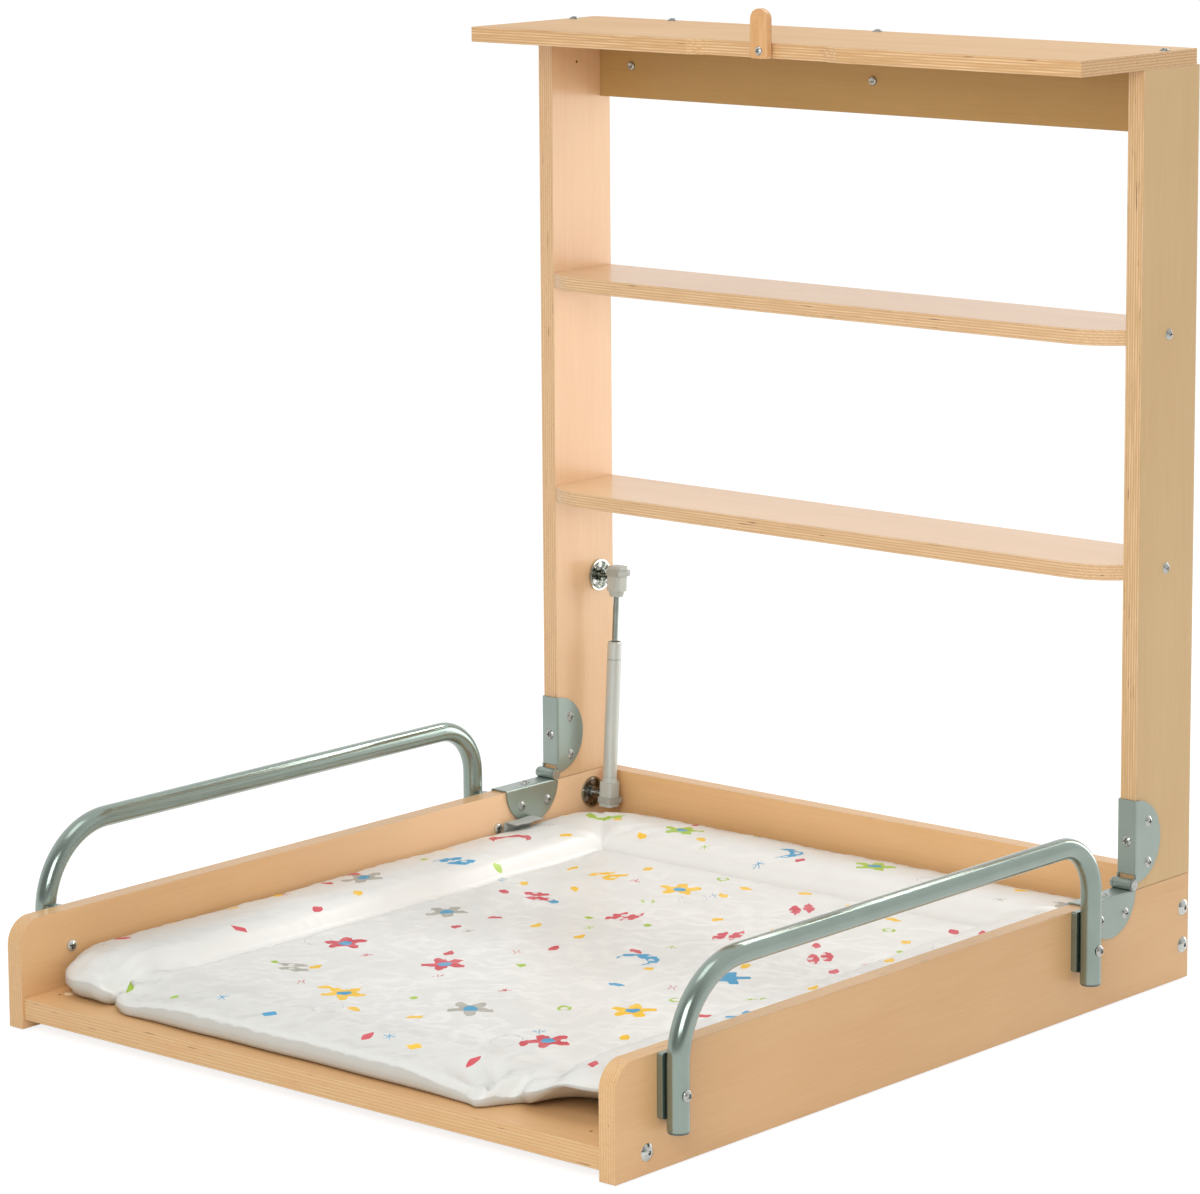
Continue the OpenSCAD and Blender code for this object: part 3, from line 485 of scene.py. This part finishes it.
def wallScrewHeads():
    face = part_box("wall_rail")[0][1]
    turns = [2 * math.pi * k / wallScrew["sides"] for k in range(wallScrew["sides"])]
    shape = bmesh.new()
    for x, z in wallScrew["places"]:
        rings = []
        for share, proud in wallScrew["profile"]:
            ring = []
            for turn in turns:
                crossed = 0 < share < 0.7  # the cross recess pulls these rings in
                cross = 1 - wallScrew["recess"] * abs(math.sin(2 * turn)) if crossed else 1.0
                reach = wallScrew["radius"] * max(share, 0.02) * cross
                ring.append(shape.verts.new((x + reach * math.cos(turn), face - proud,
                                             z + reach * math.sin(turn))))
            rings.append(ring)
        closeRings(shape, rings)
    finishHeads("wall_screw_heads", shape, hardware["zinc"], "frame")


def plugCaps():
    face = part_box("deck")[1][2]
    turns = [2 * math.pi * k / cap["sides"] for k in range(cap["sides"])]
    shape = bmesh.new()
    for x, y in cap["places"]:
        rings = []
        for share, lift in cap["profile"]:
            reach = cap["radius"] * share
            rings.append([shape.verts.new((x + reach * math.cos(turn), y + reach * math.sin(turn),
                                           face + cap["proud"] * lift)) for turn in turns])
        closeRings(shape, rings)
    finishHeads("plug_caps", shape, hardware["cap_plastic"], "tray")


wallScrewHeads()
plugCaps()
print("wall screw heads and plug caps done")


mat = dict(
    halfWide=0.351, rear=-0.031, front=-0.826, under=-0.8190,  # outline, and the deck below
    middle=0.026, border=0.040,  # heights above the deck
    borderWide=0.101, frontBorderWide=0.084, rearBorderWide=0.110,
    sideSeam=0.033, frontSeam=0.0185, valleySeam=0.006, endSeam=0.011,  # seam above the deck
    rearCorner=0.034, leftCorner=0.042, rightCorner=0.060,  # radii of the plan
    curl=0.018, roll=0.019, endLift=0.029, noseLift=0.002,
    leftEnd=(0.236, 0.272), rightEnd=(0.199, 0.222),  # where the border ends meet the middle
    leftBack=0.007, rightBack=0.017,  # how far those ends stand back from the front
    endReach=0.12, endRun=(0.012, 0.095), leftCurl=(0.272, 0.30), rightCurl=(0.222, 0.290),
    archLeft=(-0.272, -0.160), archRight=(0.100, 0.204),  # the front edge rises in its middle
    seamRun=(0.02, 0.07), leftSeam=(0.272, 0.300), rightSeam=(0.218, 0.250),
    strapAt=-0.157, strapDent=0.002, strapWide=0.032,
    strutDent=0.007, strutSeam=(-0.345, -0.034, 0.032), strutTop=(-0.332, -0.040, 0.026),
    tuck=0.0065, tuckWide=0.022, fine=0.0022, coarse=0.0056, fineRows=5)

matNicks = [(-0.270, 0.008, 0.011), (0.228, 0.007, 0.008),  # in the front: place, width, depth
            (0.205, 0.008, -0.005)]

matForm = dict(
    shoulder=0.66, slope=0.34, crown=0.003, swell=0.0022,  # section of a border
    crease=0.0036, mitre=0.0030, fallWide=0.080, middleFall=0.72, endFall=0.30, endDip=0.008,
    waves=[(9, 3.1, 0.0022), (26, 8.4, 0.0007)], pucker=0.0016)  # waves: scale, seed, height

cornerFolds = [  # left and right: middle of the fan, number of folds, depth and reach
    (dict(middle=(-0.270, -0.806), count=7, deep=0.0052, reach=0.042),
     dict(middle=(0.214, -0.820), count=8, deep=0.0078, reach=0.055)),
    (dict(middle=(-0.250, -0.141), count=6, deep=0.0013, reach=0.060),
     dict(middle=(0.250, -0.141), count=6, deep=0.0013, reach=0.060)),
]

puff = dict(pressure=1.6, slack=0.022, steps=18, travel=0.006, foam=0.55, mass=0.08,
            quality=5, stretch=12, shear=4, bending=0.25)


def ease(value, low, high):
    share = min(max((value - low) / (high - low), 0.0), 1.0)
    return share * share * (3 - 2 * share)


def bell(distance, width):
    return math.exp(-(distance / width) ** 2)


def spread(low, high, fine, coarse, rows):  # places with fine spacing at both ends
    ends = [0.0]
    gap = fine
    for _ in range(rows):
        ends.append(ends[-1] + gap)
        gap = min(gap * 1.35, coarse)
    inner = (high - low) - 2 * ends[-1]
    count = max(2, round(inner / coarse))
    middle = [low + ends[-1] + inner * i / count for i in range(count + 1)]
    return [low + e for e in ends[:-1]] + middle + [high - e for e in reversed(ends[:-1])]


def between(x):  # 1 along the front edge between the two border ends
    return 1 - (ease(-x, *mat["leftEnd"]) if x < 0 else ease(x, *mat["rightEnd"]))


def nearFront(y, reach):
    return ease(-y, -mat["front"] - reach, -mat["front"])


def matPlan(x, y):  # rounds the corners of the plan and shapes the front edge
    side = 1 if x > 0 else -1
    atRear = y > (mat["rear"] + mat["front"]) / 2
    radius = mat["rearCorner"] if atRear else mat["rightCorner"] if x > 0 else mat["leftCorner"]
    end = mat["rear"] if atRear else mat["front"]
    inward = -1 if atRear else 1
    a = (abs(x) - (mat["halfWide"] - radius)) / radius
    b = 1 - abs(y - end) / radius
    if a > 0 and b > 0:
        a, b = a * math.sqrt(1 - b * b / 2), b * math.sqrt(1 - a * a / 2)
        x = side * (mat["halfWide"] - radius + a * radius)
        y = end + inward * radius * (1 - b)
    near = nearFront(y, mat["endReach"])
    y += near * (mat["leftBack"] if x < 0 else mat["rightBack"]) * (1 - between(x))
    y += near * sum(deep * bell(x - middle, wide) for middle, wide, deep in matNicks)
    y += near * 0.0022 * noise.noise(Vector((x * 14, 2.3, 0.6)))
    return x, y


def toEdge(x, y):  # distances from the side edge, the rear edge and the front edge
    return mat["halfWide"] - abs(x), mat["rear"] - y, y - mat["front"]


def sideWidth(y):  # the borders narrow towards the front
    narrower = mat["frontBorderWide"] - mat["borderWide"]
    return mat["borderWide"] + narrower * nearFront(y, mat["endReach"])


def dent(x, y, place):  # place: x, y and width
    return mat["strutDent"] * bell(math.hypot(x - place[0], y - place[1]), place[2])


def lifted(x, y):  # how far the ends of the borders curl up off the deck
    near, far = mat["endRun"]
    front = 1 - ease(y, mat["front"] + near, mat["front"] + far)
    right, left = ease(x, *mat["rightCurl"]), ease(-x, *mat["leftCurl"])
    return front * (mat["endLift"] * right + mat["noseLift"] * left)


def seamHeight(x, y):
    frontShare = 1 - ease(toEdge(x, y)[2], *mat["seamRun"])
    arch = ease(x, *mat["archLeft"]) * (1 - ease(x, *mat["archRight"]))
    middle = mat["valleySeam"] + (mat["frontSeam"] - mat["valleySeam"]) * arch
    atEnd = ease(-x, *mat["leftSeam"]) if x < 0 else ease(x, *mat["rightSeam"])
    front = middle + (mat["endSeam"] - middle) * atEnd
    sideHigh = mat["sideSeam"] - dent(x, y, mat["strutSeam"])
    return sideHigh + (front - sideHigh) * frontShare + 0.7 * lifted(x, y)


def folds(x, y, middle, count, deep, reach):  # small folds that run out from a corner
    away = math.hypot(x - middle[0], y - middle[1])
    angle = math.atan2(y - middle[1], x - middle[0])
    wander = noise.noise(Vector((x * 18, y * 18, 5.2))) * 2.2
    ridge = 0.9 - 1.5 * abs(math.sin(angle * count * 0.5 + wander))
    return deep * ridge * bell(away, reach) * min(away / 0.010, 1.0)


def tuckedIn(x, y, amount):  # moves a point of the underside in from the outline
    reach = mat["rightCorner"]
    coreX = min(max(x, reach - mat["halfWide"]), mat["halfWide"] - reach)
    coreY = min(max(y, mat["front"] + reach), mat["rear"] - reach)
    away = math.hypot(x - coreX, y - coreY)
    if away < 1e-6:
        return x, y
    return x + (coreX - x) / away * amount, y + (coreY - y) / away * amount


def matTop(x, y, rim):  # rim: distance from the outline
    form = matForm
    side, rear, front = toEdge(x, y)
    acrossSide, acrossRear = side / sideWidth(y), rear / mat["rearBorderWide"]
    across = min(acrossSide, acrossRear)
    fall = min(max((across - form["shoulder"]) / form["slope"], 0.0), 1.0)
    raised = (1 - fall ** 2.4) ** 0.7
    crown = form["crown"] * math.sin(math.pi * min(max(across, 0), 1.0))
    crown = crown - form["crown"] * ease(1 - across, 0.35, 1.0)
    high = mat["middle"] + (mat["border"] - mat["middle"]) * raised + crown
    high += form["swell"] * (1 - bell(max(across - 1.0, 0), 0.45))
    high -= form["crease"] * bell(across - 1.01, 0.04)  # at the foot of a border
    if across < 1.0:
        high -= form["mitre"] * bell(acrossSide - acrossRear, 0.05) * ease(across, 0.05, 0.5)
    drop = form["middleFall"] * between(x) + form["endFall"] * (1 - between(x))
    frontFall = (1 - ease(front, 0.0, form["fallWide"])) * drop
    edge = seamHeight(x, y)
    high -= (high - edge - 0.002) * frontFall
    high -= form["endDip"] * nearFront(y, 0.06) * (bell(x + 0.270, 0.010) + bell(x - 0.224, 0.008))
    # the straps pull it down, and the foot of the strut has room
    pulled = mat["strapDent"] * bell(y - mat["strapAt"], mat["strapWide"])
    high -= pulled * (1 - ease(side, 0.004, 0.048))
    high -= dent(x, y, mat["strutTop"])
    atFront = 1 - ease(front, 0.01, 0.06)
    roll = mat["roll"] + atFront * (0.017 - 0.028 * between(x))
    if rim < roll:
        share = math.sqrt(max(0.0, 1 - (1 - rim / roll) ** 2))
        high = edge + (high - edge) * share
    soft = sum(noise.noise(Vector((x * scale, y * scale, seed))) * height
               for scale, seed, height in form["waves"])
    for left, right in cornerFolds:
        soft += folds(x, y, **left) + folds(x, y, **right)
    fine = noise.noise(Vector((x * 70, y * 70, 1.7)))
    pucker = fine * form["pucker"] * math.exp(-rim / 0.03)
    return high + (soft + pucker) * min(rim / 0.008, 1.0)


def makeMat():
    mesh = mat["fine"], mat["coarse"], mat["fineRows"]
    columns = spread(-mat["halfWide"], mat["halfWide"], *mesh)
    rows = spread(mat["front"], mat["rear"], *mesh)
    lastColumn, lastRow = len(columns) - 1, len(rows) - 1
    shape = bmesh.new()
    top, below, hold = {}, {}, {}
    for j, rowY in enumerate(rows):
        for i, columnX in enumerate(columns):
            x, y = matPlan(columnX, rowY)
            rim = min(columnX - columns[0], columns[-1] - columnX, rowY - rows[0], rows[-1] - rowY)
            side, rear, front = toEdge(x, y)
            across = min(side / sideWidth(y), rear / mat["rearBorderWide"])
            seam, lift = seamHeight(x, y), lifted(x, y)
            high = seam if rim == 0 else matTop(x, y, rim)
            top[i, j] = shape.verts.new((x, y, mat["under"] + high))
            held = min(1.0, puff["foam"] + 0.4 * bell(across - 1.0, 0.07))
            hold[top[i, j]] = 1.0 if rim == 0 else held
            flush = between(x) * (1 - ease(front, 0.01, 0.05))  # no tuck along the middle
            tuck = mat["tuck"] - (mat["tuck"] + 0.0008) * flush
            underX, underY = tuckedIn(x, y, tuck * (1 - min(rim / mat["tuckWide"], 1.0)))
            if rim == 0:  # the band under the seam
                low = lift + 0.34 * (seam - lift)
            else:
                share = max(0.0, 1 - rim / mat["curl"])
                low = lift + 0.19 * (seam - lift) * (1 - math.sqrt(max(0.0, 1 - share * share)))
            below[i, j] = shape.verts.new((underX, underY, mat["under"] + low))
            hold[below[i, j]] = 1.0
    for j in range(lastRow):
        for i in range(lastColumn):
            shape.faces.new([top[i, j], top[i + 1, j], top[i + 1, j + 1], top[i, j + 1]])
            shape.faces.new([below[i, j + 1], below[i + 1, j + 1], below[i + 1, j], below[i, j]])
    outline = [(i, 0) for i in range(lastColumn)] + [(lastColumn, j) for j in range(lastRow)]
    outline += [(i, lastRow) for i in range(lastColumn, 0, -1)]
    outline += [(0, j) for j in range(lastRow, 0, -1)]
    for one, two in zip(outline, outline[1:] + outline[:1]):
        shape.faces.new([below[one], below[two], top[two], top[one]])
    shape.verts.index_update()
    holds = {vert.index: share for vert, share in hold.items()}
    return newPiece("mat_cover", shape), holds


def puffUp(piece, holds):  # the loose cover fills and wrinkles over the foam, held at its seams
    group = piece.vertex_groups.new(name="held")
    for index, share in holds.items():
        group.add([index], share, "REPLACE")
    start = [vert.co.copy() for vert in piece.data.vertices]
    cloth = piece.modifiers.new("puff", "CLOTH")
    settings = cloth.settings
    settings.quality, settings.mass = puff["quality"], puff["mass"]
    settings.tension_stiffness = settings.compression_stiffness = puff["stretch"]
    settings.shear_stiffness, settings.bending_stiffness = puff["shear"], puff["bending"]
    settings.use_pressure, settings.uniform_pressure_force = True, puff["pressure"]
    settings.shrink_min = -puff["slack"]
    settings.vertex_group_mass = "held"
    settings.effector_weights.gravity = 0
    cloth.collision_settings.use_collision = False
    cloth.point_cache.frame_start, cloth.point_cache.frame_end = 1, puff["steps"] + 2
    scene = bpy.context.scene
    for step in range(1, puff["steps"] + 1):
        scene.frame_set(step)
    filled = piece.evaluated_get(bpy.context.evaluated_depsgraph_get())
    places = [vert.co.copy() for vert in filled.data.vertices]
    piece.modifiers.remove(cloth)
    piece.vertex_groups.remove(group)
    scene.frame_set(1)
    furthest = total = 0.0
    for vert, before, after in zip(piece.data.vertices, start, places):
        moved = after - before
        furthest, total = max(furthest, moved.length), total + moved.length
        capped = math.tanh(moved.length / puff["travel"]) * puff["travel"]
        moved *= capped / max(moved.length, 1e-6)
        vert.co = before + moved
        vert.co.z = max(vert.co.z, mat["under"])
    mean = total / len(start)
    print("mat cover filled: furthest %.1f mm, mean %.2f mm" % (furthest * 1000, mean * 1000))


matPrint = dict(
    paper=srgb(229, 229, 225), paintedShadeGrey=srgb(213, 213, 208), backingAndPaintedShade=srgb(190, 189, 182),
    line=srgb(188, 197, 200),
    inks=[(0.0, srgb(244, 196, 40)), (0.2, srgb(206, 66, 80)), (0.4, srgb(62, 156, 200)),
          (0.6, srgb(166, 200, 62)), (0.8, srgb(176, 173, 162))])

motifs = {  # cell: size of the square that holds one, wander: how far it moves in its cell
    "loops": dict(cell=0.17, seed=5, wander=0.5, shift=(1.85, 3.05), radius=0.016,
                  line=0.0004),
    "leaves": dict(cell=0.062, seed=2, wander=0.6, shift=(0.74, 1.22), leaf=0.0048,
                   dot=0.0046, ring=0.0056, ringWide=0.0013),
    "stars": dict(cell=0.094, seed=3, wander=0.6, shift=(1.11, 1.83), radius=0.0066,
                  line=0.0012),
    "flowers": dict(cell=0.122, seed=1, wander=0.34, shift=(0.0, 0.213), radius=0.0165,
                    petal=0.0055, heart=0.0068, crescent=0.0205, bite=0.0165, leaf=0.0060,
                    apart=0.0068),
}


def scattered(finish, x, y, name):  # one motif in each cell, moved and turned at random
    look = motifs[name]
    size, wander, (shiftX, shiftY) = look["cell"], look["wander"], look["shift"]
    across, down = x * (1 / size) + shiftX, y * (1 / size) + shiftY
    column, row = across.math("FLOOR"), down.math("FLOOR")
    cell = finish.node("CombineXYZ", {}, {0: column, 1: row, 2: float(look["seed"])})
    chance = finish.node("TexWhiteNoise", {"noise_dimensions": "3D"}, {"Vector": cell})
    red, green, blue = finish.parts(chance.other("Color"))
    middleX = column + 0.5 + (red - 0.5) * wander
    middleY = row + 0.5 + (green - 0.5) * wander
    u, v = across - middleX, down - middleY
    angle = blue * (2 * math.pi)
    sine, cosine = angle.math("SINE"), angle.math("COSINE")
    return dict(u=(u * cosine + v * sine) * size, v=(v * cosine - u * sine) * size,
                chance=chance, red=red, green=green,
                middle=((middleX - shiftX) * size, (middleY - shiftY) * size))


def offCreases(x, y):  # 1 where a large figure lies flat, away from the folds of the mat
    flatX = 1 - (abs(x) > 0.226) * (abs(x) < 0.278)
    flatY = 1 - (y > -0.166) * (y < -0.112)
    return flatX * flatY * (y > -0.792) * (abs(x) < 0.330)


def inside(distance, soft=0.0004):  # 1 where the distance is below 0
    return 1 - distance.step(-soft, soft)


def length(u, v):
    return (u * u + v * v).math("SQRT")


def printLoops(finish, colour, x, y):
    look, spot = motifs["loops"], scattered(finish, x, y, "loops")
    u, v = spot["u"], spot["v"]
    far = ((u * u) + (v * v) * 1.7).math("SQRT")
    loop = inside(abs(far - look["radius"] - u * 0.3) - look["line"], 0.0003)
    loop = loop * (spot["chance"] > 0.45)
    return finish.mix(colour, matPrint["line"], loop)


def printLeaves(finish, colour, x, y):  # small leaves, dots and rings
    look, spot = motifs["leaves"], scattered(finish, x, y, "leaves")
    u, v, chance = spot["u"], spot["v"], spot["chance"]
    far = length(u, v)
    leaf = inside(abs(v) - (look["leaf"] - u * u * 62.0)) * (chance < 0.42)
    dot = inside(far - look["dot"]) * (chance > 0.60) * (chance < 0.68)
    ring = inside(abs(far - look["ring"]) - look["ringWide"])
    ring = ring * (chance > 0.68) * (chance < 0.76)
    return finish.mix(colour, finish.pick(matPrint["inks"], spot["red"]), leaf + dot + ring)


def printStars(finish, colour, x, y):  # little stars of thin strokes
    look, spot = motifs["stars"], scattered(finish, x, y, "stars")
    u, v = spot["u"], spot["v"]
    far = length(u, v)
    stroke = abs((v.math("ARCTAN2", u) * 3.0).math("SINE")) * far
    star = inside(stroke - look["line"]) * inside(far - look["radius"]) * (spot["chance"] > 0.5)
    return finish.mix(colour, finish.pick(matPrint["inks"][1:], spot["green"]), star)


def printFlowers(finish, colour, x, y):  # large flowers, crescents and pairs of leaves
    look, spot = motifs["flowers"], scattered(finish, x, y, "flowers")
    u, v, chance, inks = spot["u"], spot["v"], spot["chance"], matPrint["inks"]
    far = length(u, v)
    angle = v.math("ARCTAN2", u)
    petals = inside(far - (look["radius"] + look["petal"] * (angle * 5.0).math("COSINE")))
    flowerHere = (chance > 0.12) * (chance < 0.46)
    bite = inside(length(u - 0.009, v - 0.004) - look["bite"])
    crescent = inside(far - look["crescent"]) * (1 - bite)
    crescentHere = (chance > 0.46) * (chance < 0.66)
    upper = inside(abs(v - look["apart"]) - (look["leaf"] - u * u * 19.0))
    along = u - 0.008
    lower = inside(abs(v + look["apart"]) - (look["leaf"] - along * along * 19.0))
    pairHere = (chance > 0.66) * (chance < 0.92)
    large = petals * flowerHere + crescent * crescentHere + (upper + lower) * pairHere
    clear = offCreases(*spot["middle"])
    dots = (((x * 330).math("SINE")) * ((y * 330).math("SINE"))) * -1.0 + 0.55
    tone = finish.mix(finish.pick(inks, spot["green"]), matPrint["paper"],
                      inside(dots, 0.1) * 0.8 * (spot["red"] > 0.5))
    colour = finish.mix(colour, tone, clear * large.math("MINIMUM", 1.0))
    heartTone = finish.pick(inks[2:] + [(0.95, inks[0][1])], spot["red"])
    return finish.mix(colour, heartTone, inside(far - look["heart"]) * flowerHere * clear)


def matVinyl():
    finish = Finish("mat_vinyl")
    x, y = finish.parts(finish.place())[:2]
    up = finish.parts(finish.place("Normal"))[2]
    worn = (-y).step(0.735, 0.80) + (-x).step(0.235, 0.285) * (-y).step(0.45, 0.76)
    colour = finish.mix(matPrint["paper"], matPrint["paintedShadeGrey"],  # painted shade: greyer towards the front edge and along the left border
                        worn.math("MINIMUM", 1.0))
    for layer in (printLoops, printLeaves, printStars, printFlowers):
        colour = layer(finish, colour, x, y)
    # the band and the underside are plain backing, greyer also as painted shade on faces that look
    # sideways or down
    colour = finish.mix(matPrint["backingAndPaintedShade"], colour, up.step(0.26, 0.40))
    weave, wrinkle = finish.cloud(1400, 1.0), finish.cloud(38, 3.0)
    return finish.surface(
        Base_Color=colour, Roughness=0.3 + 0.12 * wrinkle, Coat_Weight=0.15,
        Coat_Roughness=0.25, Normal=finish.bump(weave * 0.25 + wrinkle * 3.0, 0.25, 0.0004))


matCover, matHolds = makeMat()
puffUp(matCover, matHolds)
matCover.data.materials.append(matVinyl())
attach(matCover, "tray")
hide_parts("mat")
print("mat done")


strap = dict(  # root: sewn end, against the side board
    wide=0.042, thick=0.0014, middle=-0.157, high=-0.7750, low=-0.7758, wall=0.3539,
    bend=0.004, bendSteps=6, end=0.3360, endSteps=5, columns=8, ripple=0.0004,
    root=[(0.3562, -0.7930), (0.3562, -0.7870), (0.3539, -0.7837)],
    tone=srgb(184, 188, 182), shade=srgb(160, 164, 159))


def webbing():
    finish = Finish("strap_cloth")
    x, y, z = finish.parts(finish.place())
    ribs = (y * 2800).math("SINE")
    cross = (x * 2400 + z * 2400).math("SINE")
    weave = (ribs * cross).step(-0.6, 0.6)
    worn = finish.cloud(90, 2.0)
    colour = finish.mix(strap["tone"], strap["shade"], weave * 0.6 + worn * 0.4)
    return finish.surface(Base_Color=colour, Roughness=0.75,
                          Normal=finish.bump(weave, 0.35, 0.0003))


def makeStrap(name, side, cloth):
    line = list(strap["root"])
    bend = strap["bend"]
    for i in range(strap["bendSteps"] + 1):  # off the board, clear of the hinge leaf
        turn = math.pi / 2 * i / strap["bendSteps"]
        line.append((strap["wall"] - bend * (1 - math.cos(turn)),
                     strap["high"] - bend * (1 - math.sin(turn))))
    lastX, lastZ = line[-1]
    for i in range(1, strap["endSteps"] + 1):
        run = i / strap["endSteps"]
        line.append((lastX + (strap["end"] - lastX) * run,
                     lastZ + (strap["low"] - lastZ) * run ** 0.8))
    shape = bmesh.new()
    rows = []
    for x, z in line:
        row = []
        for k in range(strap["columns"] + 1):
            y = strap["middle"] + strap["wide"] * (k / strap["columns"] - 0.5)
            row.append(shape.verts.new((side * x, y, z + strap["ripple"] * math.sin(k * 1.3))))
        rows.append(row)
    for a, b in zip(rows, rows[1:]):
        for k in range(strap["columns"]):
            shape.faces.new([a[k], a[k + 1], b[k + 1], b[k]])
    bmesh.ops.recalc_face_normals(shape, faces=shape.faces)
    piece = newPiece(name, shape)
    thick = piece.modifiers.new("thick", "SOLIDIFY")
    thick.thickness, thick.offset = strap["thick"], 0
    piece.data.materials.append(cloth)
    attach(piece, "tray")
    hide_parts("mat_straps")
    run = sum(math.dist(a, b) for a, b in zip(line, line[1:]))


strapCloth = webbing()
makeStrap("left_strap", -1, strapCloth)
makeStrap("right_strap", 1, strapCloth)
print("straps done")


room = dict(floor=-0.8500, floorSize=30.0, floorGlow=0.82, sky=0.73, dusk=0.78)


def paleFloor():
    finish = Finish("pale_floor")
    ray = finish.node("LightPath")
    mirror = ray.other("Is Glossy Ray")
    seen = ray.other("Is Camera Ray") + mirror + ray.other("Is Transmission Ray")
    lit = finish.node("BsdfDiffuse", {}, {"Color": (0.8, 0.8, 0.8, 1)})
    faint = finish.node("BsdfDiffuse", {}, {"Color": (0.3, 0.3, 0.3, 1)})
    glow = finish.node("Emission", {}, {"Color": (1, 1, 1, 1), "Strength": room["floorGlow"]})
    bright = finish.node("AddShader", {}, {0: faint, 1: glow})
    return finish.show(finish.node("MixShader", {}, {0: seen.math("MINIMUM", 1.0),
                                                     1: lit, 2: bright}))


half = room["floorSize"] / 2
floorCorners = [(x, y, room["floor"]) for x, y in
                ((-half, -half), (half, -half), (half, half), (-half, half))]
floorMesh = bpy.data.meshes.new("floor")
floorMesh.from_pydata(floorCorners, [], [(0, 1, 2, 3)])
floor = bpy.data.objects.new("floor", floorMesh)
floorMesh.materials.append(paleFloor())
bpy.context.scene.collection.objects.link(floor)


class Sky(Finish):  # the same wrapper on the world's nodes
    def __init__(self, name):
        self.world = bpy.data.worlds.new(name)
        self.world.use_nodes = True
        self.tree, self.coords = self.world.node_tree, None
        self.tree.nodes.clear()

    def background(self, strength):
        return self.node("Background", {}, {"Color": (1, 1, 1, 1), "Strength": strength})


studio = Sky("studio")
ray = studio.node("LightPath")
shiny = (ray.other("Is Glossy Ray") + ray.other("Is Transmission Ray")).math("MINIMUM", 1.0)
towards = studio.parts(studio.place("Generated"))
dusk = (0.25 - towards[1] * 0.75 + towards[0] * 0.35).step(0.1, 0.9)  # one side is darker
mirrored = studio.background(1.0 - room["dusk"] * dusk)
below = studio.node("MixShader", {}, {0: shiny, 1: studio.background(room["sky"]), 2: mirrored})
sky = studio.node("MixShader", {}, {0: ray.other("Is Camera Ray"), 1: below,
                                    2: studio.background(1.0)})
skyOut = studio.tree.nodes.new("ShaderNodeOutputWorld")
studio.tree.links.new(sky.socket, skyOut.inputs["Surface"])
bpy.context.scene.world = studio.world

lamps = {
    "front_box": dict(place=(1.3, -2.7, 0.7), aim=(-0.1, -0.2, -0.5), wide=1.4, high=1.4,
                      power=35),
    "top_box": dict(place=(0.1, -0.9, 2.6), aim=(0, -0.4, -0.6), wide=1.8, high=1.4,
                    power=14.5),
    "rear_strip": dict(place=(-0.15, 1.75, 1.30), aim=(-0.05, -0.5, -0.67), wide=1.3,
                       high=0.30, power=13),
    "back_box": dict(place=(0.32, 0.95, -0.38), aim=(-0.36, -0.12, -0.70), wide=0.5,
                     high=0.9, power=5),
}
for lampName, lamp in lamps.items():
    light = bpy.data.lights.new(lampName, "AREA")
    light.shape, light.energy = "RECTANGLE", lamp["power"]
    light.size, light.size_y = lamp["wide"], lamp["high"]
    holder = bpy.data.objects.new(lampName, light)
    holder.location = lamp["place"]
    ahead = Vector(lamp["aim"]) - Vector(lamp["place"])
    holder.rotation_euler = ahead.to_track_quat("-Z", "Y").to_euler()
    holder.visible_camera = False
    bpy.context.scene.collection.objects.link(holder)

view = dict(place=(2.8719, -3.7237, 0.3900), yaw=41.078, pitch=-9.51, roll=-0.404,
            lens=142.37, sensor=36.0, shift=-0.1, farEnd=60)
lens = bpy.data.cameras.new("view")
lens.lens, lens.sensor_width, lens.shift_y = view["lens"], view["sensor"], view["shift"]
lens.clip_end = view["farEnd"]
camera = bpy.data.objects.new("view", lens)
camera.location = view["place"]
aimed = Euler((math.radians(90 + view["pitch"]), 0, math.radians(view["yaw"]))).to_matrix()
rolled = Matrix.Rotation(math.radians(view["roll"]), 3, "Z")
camera.rotation_euler = (aimed @ rolled).to_euler()
bpy.context.scene.collection.objects.link(camera)
bpy.context.scene.camera = camera
bpy.context.scene.view_settings.view_transform = "Standard"
print("room, lamps and camera done")
